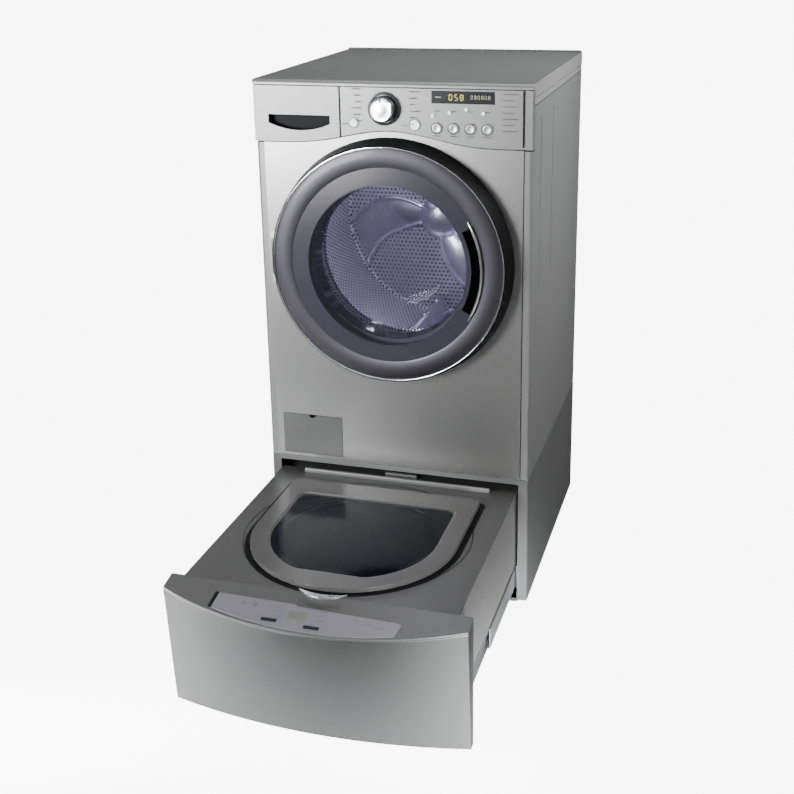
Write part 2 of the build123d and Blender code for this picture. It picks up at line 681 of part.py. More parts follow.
def rail_inner():
    """Drawer members of the slides."""
    y0 = DRAWER_Y[0] + 10
    rail = block(DRAWER_KEEL_HALF, DRAWER_KEEL_HALF + 14, y0, y0 + RAIL_TRAVEL, RAIL_Z - 21, RAIL_Z + 21)
    rail -= block(DRAWER_KEEL_HALF + 3, 400, y0 - 1, y0 + RAIL_TRAVEL + 1, RAIL_Z - 18, RAIL_Z + 18)
    return both_sides(rail)


def drawer_box():
    """Open-topped sheet box of the drawer, narrower at the bottom where the rails run."""
    y0, y1 = DRAWER_Y
    low, step, top = DRAWER_Z
    outer = block(-DRAWER_HALF, DRAWER_HALF, y0, y1, step, top)
    outer += block(-DRAWER_KEEL_HALF, DRAWER_KEEL_HALF, y0, y1, low, step)
    inner = block(-DRAWER_HALF + SHEET, DRAWER_HALF - SHEET, y0 + SHEET, y1 - SHEET, step + SHEET, top + 1)
    inner += block(
        -DRAWER_KEEL_HALF + SHEET, DRAWER_KEEL_HALF - SHEET, y0 + SHEET, y1 - SHEET, low + SHEET, step + SHEET,
    )
    return outer - inner


def drawer_front():
    """Bowed and leaning front of the drawer, hollow and open to the rear."""
    back = DRAWER_Y[0]
    front = facia_body(0, back) - above_slope(CAP_THICKNESS)
    hollow = facia_body(3, back - 3) - above_slope(CAP_THICKNESS + 3)
    hollow -= block(-HALF, HALF, FACIA_MID_Y[1], back, 0, FACIA_BOTTOM + 3)
    front -= hollow
    return front - block(-300, 300, back - 5, back + 1, FACIA_BOTTOM + 20, DRAWER_Z[2] - 10)


def drawer_deck():
    """Top plate of the drawer with the washtub's mouth and the lid's hinge ears."""
    deck = block(-DRAWER_HALF, DRAWER_HALF, *DRAWER_Y, DRAWER_Z[2], DECK_TOP)
    deck -= rod_z(DECK_HOLE_R, DRAWER_Z[2] - 1, DECK_TOP + 1, 0, MINI_Y)
    y, z = LID_PIVOT
    for side in (-1, 1):
        for x in (160, 206):
            deck += block(side * x - 4, side * x + 4, y - 6, y + 6, DECK_TOP, z + 5)
        deck += rod_x(LID_PIN_R, side * 183 - 20, side * 183 + 20, y, z)
    return deck


def mini_control_strip():
    """Sloping cap of the drawer front that carries the mini washer's controls."""
    return (facia_body(0, DRAWER_Y[0]) & above_slope(CAP_THICKNESS)) - above_slope(0)


def deck_rear_bar():
    """Rounded bar across the rear of the deck."""
    bar = block(-243, 248, -20, -10, DECK_TOP, DECK_TOP + 11)
    return fillet(bar.edges().filter_by(Axis.X).group_by(Axis.Z)[-1], 4)


def mini_tub():
    """Outer plastic tub of the mini washer."""
    bore = MINI_SHAFT_R + 0.06
    return turned_z([
        (bore, 56), (MINI_TUB_R, 56), (MINI_TUB_R, DRAWER_Z[2]), (MINI_TUB_R - 4, DRAWER_Z[2]),
        (MINI_TUB_R - 4, 61), (bore, 61),
    ])


def mini_motor():
    """Flat motor under the mini tub."""
    motor = rod_z(78, DRAWER_Z[0] + SHEET, 46, 0, MINI_Y)
    return motor + rod_z(30, 46, 49, 0, MINI_Y)


def mini_basket():
    """Spinning basket with its hollow shaft."""
    bore = PULSATOR_SHAFT_R + 0.06
    wall = MINI_BASKET_R - 3
    return turned_z([
        (bore, 50), (MINI_SHAFT_R, 50), (MINI_SHAFT_R, 68), (MINI_BASKET_R, 68), (MINI_BASKET_R, 302),
        (DECK_HOLE_R, 302), (DECK_HOLE_R, 299), (wall, 299), (wall, 71), (bore, 71),
    ])


def pulsator():
    """Washing plate with four vanes, on its own shaft inside the basket's."""
    plate = rod_z(150, 76, 86, 0, MINI_Y) + rod_z(24, 86, 112, 0, MINI_Y)
    plate += rod_z(PULSATOR_SHAFT_R, 50, 76, 0, MINI_Y)
    vane = block(20, 138, -6, 6, 86, 100)
    for index in range(4):
        plate += Pos(0, MINI_Y, 0) * Rot(0, 0, 45 + 90 * index) * vane
    return plate


def lid_window():
    """The D-shaped area of the lid's glass."""
    window = lid_outline(LID_GLASS_HALF, LID_GLASS_REAR_Y, LID_GLASS_HALF)
    return window - Pos(0, LID_GLASS_FRONT_Y - 100) * Rectangle(600, 200)


def lid_frame():
    """D-shaped lid rim with two hinge barrels."""
    low, high = LID_Z
    rim = Pos(0, 0, low) * extrude(lid_outline(LID_HALF, LID_REAR_Y, LID_ARC_R), high - low)
    rim -= Pos(0, 0, low - 1) * extrude(lid_window(), high - low + 2)
    y, z = LID_PIVOT
    for side in (-1, 1):
        x = side * 183
        rim += rod_x(5.5, x - 18, x + 18, y, z)
        rim += block(x - 18, x + 18, LID_REAR_Y - 2, y, z - 2, z + 2)
        rim -= rod_x(LID_PIN_R + 0.06, x - 19, x + 19, y, z)
    return rim


def lid_glass():
    """Dark glass pane of the lid, seated just below the rim's top."""
    low, high = LID_Z
    pane = offset(lid_window(), -0.3)
    return Pos(0, 0, high - 6) * extrude(pane, 5)


def lid_handle():
    """Bright crescent-shaped pull near the lid's front edge."""
    middle = LID_HANDLE_X
    tips = [(middle + side * LID_HANDLE_HALF, LID_HANDLE_Y) for side in (-1, 1)]
    outer = ThreePointArc(tips[0], (middle, LID_HANDLE_Y - 26), tips[1])
    inner = ThreePointArc(tips[0], (middle, LID_HANDLE_Y - 12), tips[1])
    return Pos(0, 0, LID_Z[1]) * extrude(make_face([outer, inner]), 4.5)


def save(node, shape):
    """Write one sub-part in the row's frame."""
    export_step(Pos(0, FRONT_Y, 0) * shape, "parts/" + node + ".step")


os.makedirs("parts", exist_ok=True)

for part in (
    cabinet_shell, base_pan, top_plate, front_panel, control_panel, display_lens, program_knob,
    dispenser_housing, dispenser_front, dispenser_tray, door_frame, door_cover, door_trim_ring,
    door_glass, door_handle, hinge_bracket, hinge_arm, latch_hook, door_lock, door_gasket,
    tub_front, tub_rear, tub_bearings, counterweights, drum_shell, drum_lifters, drum_spider,
    motor_stator, motor_rotor, suspension_springs, damper_cylinders, damper_rods, drain_pump,
    filter_cap, pump_access_door, inlet_valve, drain_spigot, pedestal_cabinet, pedestal_feet,
    rail_outer, rail_middle, rail_inner, drawer_box, drawer_front, drawer_deck,
    mini_control_strip, deck_rear_bar, mini_tub, mini_motor, mini_basket, pulsator,
    lid_frame, lid_glass, lid_handle,
):
    save(part.__name__, part())

save("power_button", push_button(*POWER_BUTTON))
save("start_button", push_button(*START_BUTTON))
for number, x in enumerate(OPTION_BUTTON_X, 1):
    save(f"option_button_{number}", push_button(x, OPTION_BUTTON_Z, OPTION_BUTTON_R))
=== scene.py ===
import json
import math

import bpy
from mathutils import Matrix, Vector


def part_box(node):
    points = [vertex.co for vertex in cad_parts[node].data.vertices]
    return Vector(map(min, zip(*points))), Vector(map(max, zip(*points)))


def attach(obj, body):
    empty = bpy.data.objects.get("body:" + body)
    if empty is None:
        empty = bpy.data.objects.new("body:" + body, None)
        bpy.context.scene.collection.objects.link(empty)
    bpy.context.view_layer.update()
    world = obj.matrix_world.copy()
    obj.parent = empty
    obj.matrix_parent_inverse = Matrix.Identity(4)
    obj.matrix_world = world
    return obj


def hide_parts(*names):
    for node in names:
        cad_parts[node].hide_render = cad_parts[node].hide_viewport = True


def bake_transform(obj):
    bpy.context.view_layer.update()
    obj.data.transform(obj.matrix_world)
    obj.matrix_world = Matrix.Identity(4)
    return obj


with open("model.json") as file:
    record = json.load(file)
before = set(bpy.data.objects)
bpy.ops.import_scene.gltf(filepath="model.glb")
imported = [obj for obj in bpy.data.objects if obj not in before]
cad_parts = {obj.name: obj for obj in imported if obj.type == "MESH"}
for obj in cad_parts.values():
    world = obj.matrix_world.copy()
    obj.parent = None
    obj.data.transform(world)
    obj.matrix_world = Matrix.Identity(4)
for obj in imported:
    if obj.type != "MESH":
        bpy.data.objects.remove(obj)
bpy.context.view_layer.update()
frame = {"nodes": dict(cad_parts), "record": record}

# Front load washing machine on a pedestal washer: its looks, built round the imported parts

MM = 0.001

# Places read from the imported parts
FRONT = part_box("front_panel")[0].y
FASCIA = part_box("control_panel")[0].y
DOOR_LOW, DOOR_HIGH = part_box("door_trim_ring")
DOOR_Z = (DOOR_LOW.z + DOOR_HIGH.z) / 2
RIM_R = (DOOR_HIGH.x - DOOR_LOW.x) / 2
RIM_Y = DOOR_LOW.y
COVER_R = (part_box("door_cover")[1].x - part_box("door_cover")[0].x) / 2
COVER_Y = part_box("door_cover")[0].y
DRUM_LOW, DRUM_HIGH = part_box("drum_shell")
DRUM_R = (DRUM_HIGH.x - DRUM_LOW.x) / 2
KNOB_LOW, KNOB_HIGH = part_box("program_knob")
KNOB_R = (KNOB_HIGH.x - KNOB_LOW.x) / 2
KNOB_X = (KNOB_LOW.x + KNOB_HIGH.x) / 2
KNOB_Z = (KNOB_LOW.z + KNOB_HIGH.z) / 2
DISPLAY_LOW, DISPLAY_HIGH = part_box("display_lens")
DECK_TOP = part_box("deck_rear_bar")[0].z
CAP_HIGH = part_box("mini_control_strip")[1]
LID_LOW, LID_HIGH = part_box("lid_frame")
LID_TOP = LID_HIGH.z
LID_REAR = LID_HIGH.y
BASKET_LOW, BASKET_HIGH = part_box("mini_basket")
BASKET_Y = (BASKET_LOW.y + BASKET_HIGH.y) / 2
BASKET_R = (BASKET_HIGH.x - BASKET_LOW.x) / 2

# Cabinet: the pale band under the top, the top's light nose and the rear cover's screws in millimetres
BAND_HEIGHT = 54 * MM
NOSE_DEPTH = 22 * MM
COVER_SCREW_X = (-176, 0, 176)
COVER_SCREW_Z = (575, 845, 1115)

# Door: where the window's band and the bowl's flange begin, half the hand pocket's angle, and the grip
RING_STEPS = 160
WINDOW_BAND_R = 196 * MM
BOWL_FLANGE_R = 192 * MM
HAND_POCKET_TURN = 27
GRIP_R = 234.5 * MM
GRIP_SWEEP = 62.0
GRIP_STEPS = 60
GRIP_TAPER_RINGS = 9

# Drum and basket: the star's angles in degrees, and how deep the flat walls reach
STAR_SPREAD = 15
STAR_SWING = 26
STAR_STEPS = 12
FLAT_WALL = 8 * MM
BASKET_FLOOR = 26 * MM

# Drawer: half widths of the lid and of the black plate painted as shade in the gap round it, the lid's
# corners in millimetres, the cap's slope
LID_HALF = 243 * MM
LID_GAP_SHADE_HALF = 256 * MM
LID_CORNER = 18
LID_CENTRE = LID_REAR - 246 * MM
CAP_SLOPE = 0.21

# Angles under which edges are shaded smooth, and the backdrop's brightness to the eye
SMOOTH_FLAT = 35.0
SMOOTH_ROUND = 60
BACKDROP_LIFT = 8.0


# ---------------------------------------------------------------- finishes

def new_finish(name, color, metallic, roughness, **sockets):
    """A principled finish with plain values; returns the material and its main shader."""
    material = bpy.data.materials.new(name)
    material.use_nodes = True
    shader = material.node_tree.nodes["Principled BSDF"]
    shader.inputs["Base Color"].default_value = (*color, 1)
    shader.inputs["Metallic"].default_value = metallic
    shader.inputs["Roughness"].default_value = roughness
    for socket, value in sockets.items():
        shader.inputs[socket.replace("_", " ")].default_value = value
    return material, shader


def mapped_noise(material, scale, detail, stretch=(1, 1, 1)):
    """Noise on object coordinates, which may be stretched along the axes."""
    nodes, links = material.node_tree.nodes, material.node_tree.links
    place = nodes.new("ShaderNodeTexCoord")
    mapping = nodes.new("ShaderNodeMapping")
    mapping.inputs["Scale"].default_value = stretch
    noise = nodes.new("ShaderNodeTexNoise")
    noise.inputs["Scale"].default_value = scale
    noise.inputs["Detail"].default_value = detail
    links.new(place.outputs["Object"], mapping.inputs["Vector"])
    links.new(mapping.outputs["Vector"], noise.inputs["Vector"])
    return noise


def vary_color(material, shader, noise, low, high):
    """Let the noise move the base colour between two close tones."""
    ramp = material.node_tree.nodes.new("ShaderNodeValToRGB")
    ramp.color_ramp.elements[0].position = 0.3
    ramp.color_ramp.elements[1].position = 0.7
    ramp.color_ramp.elements[0].color = (*low, 1)
    ramp.color_ramp.elements[1].color = (*high, 1)
    material.node_tree.links.new(noise.outputs["Fac"], ramp.inputs["Fac"])
    material.node_tree.links.new(ramp.outputs["Color"], shader.inputs["Base Color"])


def vary_roughness(material, shader, noise, low, high):
    """Let the noise move the roughness between two values."""
    span = material.node_tree.nodes.new("ShaderNodeMapRange")
    span.inputs["To Min"].default_value = low
    span.inputs["To Max"].default_value = high
    material.node_tree.links.new(noise.outputs["Fac"], span.inputs["Value"])
    material.node_tree.links.new(span.outputs["Result"], shader.inputs["Roughness"])


def raise_grain(material, shader, height, strength, distance):
    """Bump from a height output."""
    bump = material.node_tree.nodes.new("ShaderNodeBump")
    bump.inputs["Strength"].default_value = strength
    bump.inputs["Distance"].default_value = distance
    material.node_tree.links.new(height, bump.inputs["Height"])
    material.node_tree.links.new(bump.outputs["Normal"], shader.inputs["Normal"])


def scaled(color, factor):
    """A lighter or darker version of a colour."""
    return tuple(min(1.0, part * factor) for part in color)


def enamel(name, color, metallic, roughness):
    """Baked silver enamel: fine flake, faint orange peel and slow tone drift."""
    material, shader = new_finish(name, color, metallic, roughness)
    drift = mapped_noise(material, 2.2, 2)
    vary_color(material, shader, drift, scaled(color, 0.95), scaled(color, 1.05))
    flake = mapped_noise(material, 900, 2)
    vary_roughness(material, shader, flake, roughness - 0.06, roughness + 0.06)
    peel = mapped_noise(material, 160, 2)
    raise_grain(material, shader, peel.outputs["Fac"], 0.05, 0.0004)
    return material


def brushed(name, color, along, roughness):
    """Brushed stainless sheet with its grain along one axis."""
    material, shader = new_finish(name, color, 1.0, roughness)
    stretch = [160.0, 160.0, 160.0]
    stretch["XYZ".index(along)] = 2.0
    grain = mapped_noise(material, 6.0, 4, stretch)
    vary_color(material, shader, grain, scaled(color, 0.94), scaled(color, 1.05))
    vary_roughness(material, shader, grain, roughness - 0.07, roughness + 0.1)
    raise_grain(material, shader, grain.outputs["Fac"], 0.06, 0.0002)
    return material


def moulded(name, color, roughness=0.45, metallic=0.0, coat=0.0, shine=0.5):
    """Moulded plastic with a fine spark-eroded grain."""
    material, shader = new_finish(name, color, metallic, roughness,
                                  Coat_Weight=coat, Specular_IOR_Level=shine)
    drift = mapped_noise(material, 7, 2)
    vary_color(material, shader, drift, scaled(color, 0.94), scaled(color, 1.06))
    grain = mapped_noise(material, 700, 2)
    vary_roughness(material, shader, grain, roughness - 0.05, roughness + 0.07)
    raise_grain(material, shader, grain.outputs["Fac"], 0.03, 0.0002)
    return material


def bright_plating(name, color=(0.86, 0.87, 0.9), roughness=0.08):
    """Polished plating with faint handling smears."""
    material, shader = new_finish(name, color, 1.0, roughness)
    smear = mapped_noise(material, 30, 3)
    vary_roughness(material, shader, smear, roughness, roughness + 0.1)
    vary_color(material, shader, smear, scaled(color, 0.94), color)
    return material


def smoked(name, color, alpha, roughness=0.06, shine=0.5):
    """See-through smoked sheet with a polished face."""
    material, shader = new_finish(name, color, 0.0, roughness, Alpha=alpha, Specular_IOR_Level=shine)
    drift = mapped_noise(material, 5, 2)
    vary_color(material, shader, drift, scaled(color, 0.85), scaled(color, 1.15))
    smear = mapped_noise(material, 24, 2)
    vary_roughness(material, shader, smear, roughness, roughness + 0.05)
    return material


def glowing(name, color, strength):
    """Lit legend or lamp with a slightly uneven glow."""
    material, shader = new_finish(name, color, 0.0, 0.4, Emission_Strength=strength)
    shader.inputs["Emission Color"].default_value = (*color, 1)
    patch = mapped_noise(material, 400, 1)
    vary_color(material, shader, patch, scaled(color, 0.9), color)
    return material


def arithmetic(material, operation, first, second=None):
    """A math node fed by outputs or numbers."""
    node = material.node_tree.nodes.new("ShaderNodeMath")
    node.operation = operation
    for slot, value in zip(node.inputs, (first, second)):
        if isinstance(value, (int, float)):
            slot.default_value = value
        elif value is not None:
            material.node_tree.links.new(value, slot)
    return node.outputs[0]


def blended(material, share, first, second):
    """The first value where the share is 0, the second where it is 1."""
    apart = arithmetic(material, "SUBTRACT", second, first)
    return arithmetic(material, "ADD", first, arithmetic(material, "MULTIPLY", share, apart))


def perforated(name, color, centre, along, radius, pitch, hole, flat_wall, roughness=0.22):
    """Steel sheet punched in rows round an axis ('Y' or 'Z'), and in a plain grid on its flat wall."""
    def math_of(operation, first, second=None):
        return arithmetic(material, operation, first, second)

    material, shader = new_finish(name, color, 0.6, roughness)
    nodes, links = material.node_tree.nodes, material.node_tree.links
    place = nodes.new("ShaderNodeTexCoord")
    centred = nodes.new("ShaderNodeMapping")
    centred.inputs["Location"].default_value = -Vector(centre)
    split = nodes.new("ShaderNodeSeparateXYZ")
    links.new(place.outputs["Object"], centred.inputs["Vector"])
    links.new(centred.outputs["Vector"], split.inputs[0])
    x = split.outputs["X"]
    across, height = (split.outputs[axis] for axis in (("Z", "Y") if along == "Y" else ("Y", "Z")))
    turn = math_of("ARCTAN2", across, x)
    reach = math_of("SQRT", math_of("ADD", math_of("MULTIPLY", x, x), math_of("MULTIPLY", across, across)))
    row = math_of("DIVIDE", math_of("ADD", height, reach), pitch)
    column = math_of("DIVIDE", math_of("MULTIPLY", turn, radius), pitch)
    side, level = flat_wall
    flat = math_of(side, height, level)
    row = blended(material, flat, row, math_of("DIVIDE", across, pitch))
    column = blended(material, flat, column, math_of("DIVIDE", x, pitch))
    stagger = math_of("MULTIPLY", math_of("FLOOR", row), 0.5)
    column = math_of("ADD", column, stagger)
    u = math_of("SUBTRACT", math_of("FRACT", column), 0.5)
    v = math_of("SUBTRACT", math_of("FRACT", row), 0.5)
    away = math_of("SQRT", math_of("ADD", math_of("MULTIPLY", u, u), math_of("MULTIPLY", v, v)))
    rim = math_of("SMOOTH_MIN", away, hole + 0.12)
    sheet = math_of("GREATER_THAN", away, hole)
    mix = nodes.new("ShaderNodeMix")
    mix.data_type = "RGBA"
    # The holes are painted near black: painted shade for the dark space seen through them
    mix.inputs["A"].default_value = (0.012, 0.012, 0.02, 1)
    mix.inputs["B"].default_value = (*color, 1)
    links.new(sheet, mix.inputs["Factor"])
    links.new(mix.outputs["Result"], shader.inputs["Base Color"])
    raise_grain(material, shader, rim, 0.6, 0.002)
    return material


def studio_floor(name, tone, lift):
    """Matt pale floor that reads as clean paper to the eye and throws back little light."""
    material, shader = new_finish(name, (tone, tone, tone), 0.0, 0.7)
    drift = mapped_noise(material, 0.8, 2)
    vary_color(material, shader, drift, (tone * 0.98,) * 3, (tone,) * 3)
    seen = material.node_tree.nodes.new("ShaderNodeLightPath")
    shader.inputs["Emission Color"].default_value = (1, 1, 1, 1)
    strength = arithmetic(material, "MULTIPLY", seen.outputs["Is Camera Ray"], lift)
    material.node_tree.links.new(strength, shader.inputs["Emission Strength"])
    return material


PAINT_FRONT = enamel("silver_enamel_front", (0.3, 0.302, 0.3), 0.88, 0.33)
# Darker copy of the front's silver enamel for the pump flap: painted shade for the darker lower front
PAINT_FLAP_SHADED = enamel("silver_enamel_flap_painted_shade", (0.125, 0.127, 0.126), 0.6, 0.42)
PAINT_SIDE = enamel("silver_enamel_side", (0.22, 0.222, 0.223), 0.4, 0.42)
PAINT_BAND = enamel("silver_enamel_band", (0.34, 0.342, 0.342), 0.45, 0.4)
PAINT_TOP = enamel("silver_enamel_top", (0.1, 0.102, 0.102), 0.35, 0.45)
PAINT_PEDESTAL = enamel("dark_enamel_pedestal", (0.12, 0.121, 0.123), 0.3, 0.45)
PAINT_DECK = enamel("dark_enamel_deck", (0.088, 0.089, 0.088), 0.4, 0.38)
FASCIA_SILVER = enamel("fascia_silver", (0.215, 0.217, 0.217), 0.6, 0.42)
# Near-black matt plastic for the dark joint lines and the strip's keys, and painted shade inside the
# dispenser's finger pocket
DARK_JOINTS_AND_POCKET_SHADE = moulded("dark_joints_keys_and_pocket_shade", (0.02, 0.0205, 0.022), 0.55, shine=0.05)
BLACK = moulded("black_moulding", (0.003, 0.003, 0.0035), 0.5, shine=0.12)
KNOB_RING = moulded("knob_ring_dark", (0.06, 0.061, 0.065), 0.3, 0.6)
KNOB_CAP = brushed("knob_cap_silver", (0.8, 0.81, 0.82), "X", 0.22)
BUTTON_SILVER = moulded("button_silver", (0.5, 0.505, 0.51), 0.28, 0.7)
WHITE_LIT = glowing("white_legend", (0.95, 0.97, 1.0), 1.1)
LABEL_GREY = moulded("label_ink", (0.11, 0.11, 0.12), 0.6)
SCREEN = moulded("screen_black", (0.03, 0.03, 0.035), 0.15, coat=0.6)
DIGITS = glowing("digits_yellow_green", (0.6, 0.58, 0.06), 0.8)
DIGITS_PALE = glowing("digits_pale", (0.42, 0.43, 0.3), 0.3)
COVER_TINT = moulded("door_tinted_ring", (0.05, 0.048, 0.057), 0.42, 0.85, coat=0.08)
WINDOW = smoked("door_smoked_window", (0.03, 0.028, 0.045), 0.3)
BOWL = smoked("door_bowl_glass", (0.03, 0.028, 0.06), 0.12, 0.03)
WINDOW_BAND = moulded("door_window_band", (0.034, 0.032, 0.046), 0.2, coat=0.3)
BOWL_FLANGE = moulded("door_bowl_flange", (0.09, 0.086, 0.12), 0.35)
CHROME = bright_plating("bright_plating")
RUBBER = moulded("gasket_rubber", (0.03, 0.03, 0.034), 0.6)
# Drum steel: its own grey with a violet tint in the colour, which is painted light from the drum's violet
# lamp
DRUM_STEEL_VIOLET_LIT = perforated("drum_perforated_steel_painted_violet_light", (0.5, 0.49, 0.55), (0, 0, DOOR_Z), "Y", DRUM_R, 0.0115, 0.25,
                        ("GREATER_THAN", DRUM_HIGH.y - FLAT_WALL))
# Plain drum steel with the same painted violet light in its colour
PLAIN_STEEL_VIOLET_LIT = bright_plating("drum_plain_steel_painted_violet_light", (0.7, 0.68, 0.8), 0.2)
TUB_PLASTIC = moulded("tub_plastic", (0.5, 0.51, 0.52), 0.5)
CONCRETE = moulded("cast_concrete", (0.3, 0.29, 0.27), 0.9)
CAST = moulded("cast_alloy", (0.45, 0.46, 0.47), 0.45, 0.9)
ZINC = brushed("zinc_sheet", (0.5, 0.51, 0.52), "Y", 0.35)
MOTOR = moulded("motor_lacquer", (0.05, 0.052, 0.058), 0.4, 0.5)
WHITE_PLASTIC = moulded("white_plastic", (0.75, 0.75, 0.73), 0.35)
GREY_PLASTIC = moulded("grey_plastic", (0.3, 0.305, 0.31), 0.45)
DRAWER_STEEL = brushed("drawer_brushed_steel", (0.13, 0.131, 0.132), "X", 0.38)
BOX_STEEL = brushed("drawer_side_steel", (0.42, 0.422, 0.423), "Y", 0.42)
STRIP = enamel("strip_lavender_grey", (0.16, 0.157, 0.18), 0.2, 0.36)
LID_RING = moulded("lid_ring_grey", (0.075, 0.075, 0.074), 0.34, 0.3, coat=0.1)
LID_PANE = smoked("lid_smoked_pane", (0.005, 0.006, 0.011), 0.62, 0.04, 0.12)
BAR_GREY = moulded("bar_grey", (0.19, 0.19, 0.193), 0.35, 0.3)
LCD = glowing("lcd_green", (0.1, 0.13, 0.085), 0.12)
# Basket steel darkened far below the drum's steel: painted shade for the basket under the closed lid
MINI_STEEL_SHADED = perforated("mini_basket_steel_painted_shade", (0.16, 0.16, 0.19), (0, BASKET_Y, 0), "Z", BASKET_R, 0.012, 0.2,
                        ("LESS_THAN", BASKET_LOW.z + BASKET_FLOOR))
FOOT_RUBBER = moulded("foot_rubber", (0.02, 0.02, 0.021), 0.7)
FLOOR = studio_floor("pale_floor", 0.3, BACKDROP_LIFT)


# ---------------------------------------------------------------- bench tools

def pick(piece):
    """Select one piece only and make it active."""
    bpy.ops.object.select_all(action="DESELECT")
    piece.select_set(True)
    bpy.context.view_layer.objects.active = piece


def string(name, points):
    """A line of vertices, drawn by pulling one vertex from place to place; stays in edit mode."""
    bpy.ops.object.select_all(action="DESELECT")
    bpy.ops.mesh.primitive_plane_add(size=MM, location=points[0])
    piece = bpy.context.object
    piece.name = name
    bpy.ops.object.mode_set(mode="EDIT")
    bpy.ops.mesh.select_all(action="SELECT")
    bpy.ops.mesh.merge(type="CENTER")
    for here, there in zip(points, points[1:]):
        bpy.ops.mesh.extrude_region_move(TRANSFORM_OT_translate={"value": Vector(there) - Vector(here)})
    bpy.ops.mesh.select_all(action="SELECT")
    return piece


def tidy_mesh():
    """Merge doubles and turn every face outwards, in edit mode, then leave it."""
    bpy.ops.mesh.select_all(action="SELECT")
    bpy.ops.mesh.remove_doubles(threshold=0.00001)
    bpy.ops.mesh.normals_make_consistent(inside=False)
    bpy.ops.object.mode_set(mode="OBJECT")


def place(piece):
    """Move the piece's place into its mesh."""
    pick(piece)
    bpy.ops.object.transform_apply(location=True, rotation=True, scale=True)


def profile(points, radius=0.0, level=0.0):
    """Points in millimetres, out from a radius and up from a level, as (radius, height) in metres."""
    return [(radius + out * MM, level + up * MM) for out, up in points]


def lathe(name, outline, centre, along="Y", steps=96, angle=360.0, start=0.0):
    """A turned piece from (radius, height) points round an axis along Y or Z."""
    turn = math.radians(start)
    points = []
    for radius, height in outline:
        across = Vector((radius * math.cos(turn), 0, radius * math.sin(turn)))
        if along == "Z":
            across = Vector((radius * math.cos(turn), radius * math.sin(turn), 0))
        up = Vector((0, height, 0)) if along == "Y" else Vector((0, 0, height))
        points.append(Vector(centre) + across + up)
    piece = string(name, points)
    axis = (0, 1, 0) if along == "Y" else (0, 0, -1)
    bpy.ops.mesh.spin(steps=steps, angle=math.radians(angle), center=centre, axis=axis)
    tidy_mesh()
    place(piece)
    return piece


def plate(name, outline, depth):
    """A flat outline pulled into a solid plate."""
    piece = string(name, outline)
    bpy.ops.mesh.edge_face_add()
    bpy.ops.mesh.extrude_region_move(TRANSFORM_OT_translate={"value": Vector(depth)})
    tidy_mesh()
    place(piece)
    return piece


def slab(name, low, high):
    """A rectangular blank between two corners."""
    low, high = Vector(low), Vector(high)
    bpy.ops.object.select_all(action="DESELECT")
    bpy.ops.mesh.primitive_cube_add(size=1, location=(low + high) / 2, scale=high - low)
    piece = bpy.context.object
    piece.name = name
    place(piece)
    return piece


def soften(piece, width, segments=3, angle=35.0):
    """Round every sharp edge with an applied bevel."""
    pick(piece)
    bevel = piece.modifiers.new("edge", "BEVEL")
    bevel.width = width
    bevel.segments = segments
    bevel.limit_method = "ANGLE"
    bevel.angle_limit = math.radians(angle)
    bevel.harden_normals = False
    bpy.ops.object.modifier_apply(modifier=bevel.name)
    return piece


def carve(piece, cutter):
    """Cut one piece with another, which is used up."""
    pick(piece)
    cut = piece.modifiers.new("cut", "BOOLEAN")
    cut.operation = "DIFFERENCE"
    cut.solver = "EXACT"
    cut.object = cutter
    bpy.ops.object.modifier_apply(modifier=cut.name)
    bpy.data.objects.remove(cutter)


def gather(name, parts):
    """Join several pieces of one finish into one."""
    bpy.ops.object.select_all(action="DESELECT")
    for part in parts:
        part.select_set(True)
    bpy.context.view_layer.objects.active = parts[0]
    bpy.ops.object.join()
    parts[0].name = name
    return parts[0]


def fit(piece, body, material, slot, *nodes, smooth=SMOOTH_FLAT):
    """Give a finished piece its surface, its body and the parts that it stands for; its slot is not used."""
    pick(piece)
    bpy.ops.object.shade_smooth_by_angle(angle=math.radians(smooth))
    if smooth == SMOOTH_FLAT:
        weigh = piece.modifiers.new("flats", "WEIGHTED_NORMAL")
        weigh.keep_sharp = True
        bpy.ops.object.modifier_apply(modifier=weigh.name)
    if not piece.data.materials:
        piece.data.materials.append(material)
    if body:
        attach(piece, body)
    if nodes:
        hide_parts(*nodes)
    return piece


def copy_of(node, name):
    """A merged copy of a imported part, ready for edge work."""
    source = frame["nodes"][node]
    piece = bpy.data.objects.new(name, source.data.copy())
    piece.data.materials.clear()
    bpy.context.scene.collection.objects.link(piece)
    pick(piece)
    bpy.ops.object.mode_set(mode="EDIT")
    bpy.ops.mesh.select_all(action="SELECT")
    bpy.ops.mesh.remove_doubles(threshold=0.00001)
    bpy.ops.mesh.dissolve_limited(angle_limit=math.radians(0.5))
    bpy.ops.object.mode_set(mode="OBJECT")
    return piece


def paint_faces(piece, material, test):
    """Give the faces that pass the test a second finish."""
    piece.data.materials.append(material)
    index = len(piece.data.materials) - 1
    for face in piece.data.polygons:
        if test(face):
            face.material_index = index


def from_door_axis(face):
    """How far a face lies from the line through the middle of the door and the drum."""
    return math.hypot(face.center.x, face.center.z - DOOR_Z)


def body_of_node(node):
    """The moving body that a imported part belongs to."""
    for body, nodes in frame["record"]["behaviour"]["bodies"].items():
        if node in nodes:
            return body


def slot_of_node(node):
    """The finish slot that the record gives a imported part."""
    for entry in frame["record"]["subparts"]:
        if entry["node"] == node:
            return entry["material_slot"]


def eased(node, material, width):
    """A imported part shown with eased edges."""
    piece = soften(copy_of(node, node + "_eased"), width, 2)
    fit(piece, body_of_node(node), material, slot_of_node(node), node)


def finish_node(node, material):
    """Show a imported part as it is, with a proper surface."""
    data = frame["nodes"][node].data
    data.materials.clear()
    data.materials.append(material)


# ---------------------------------------------------------------- cabinet

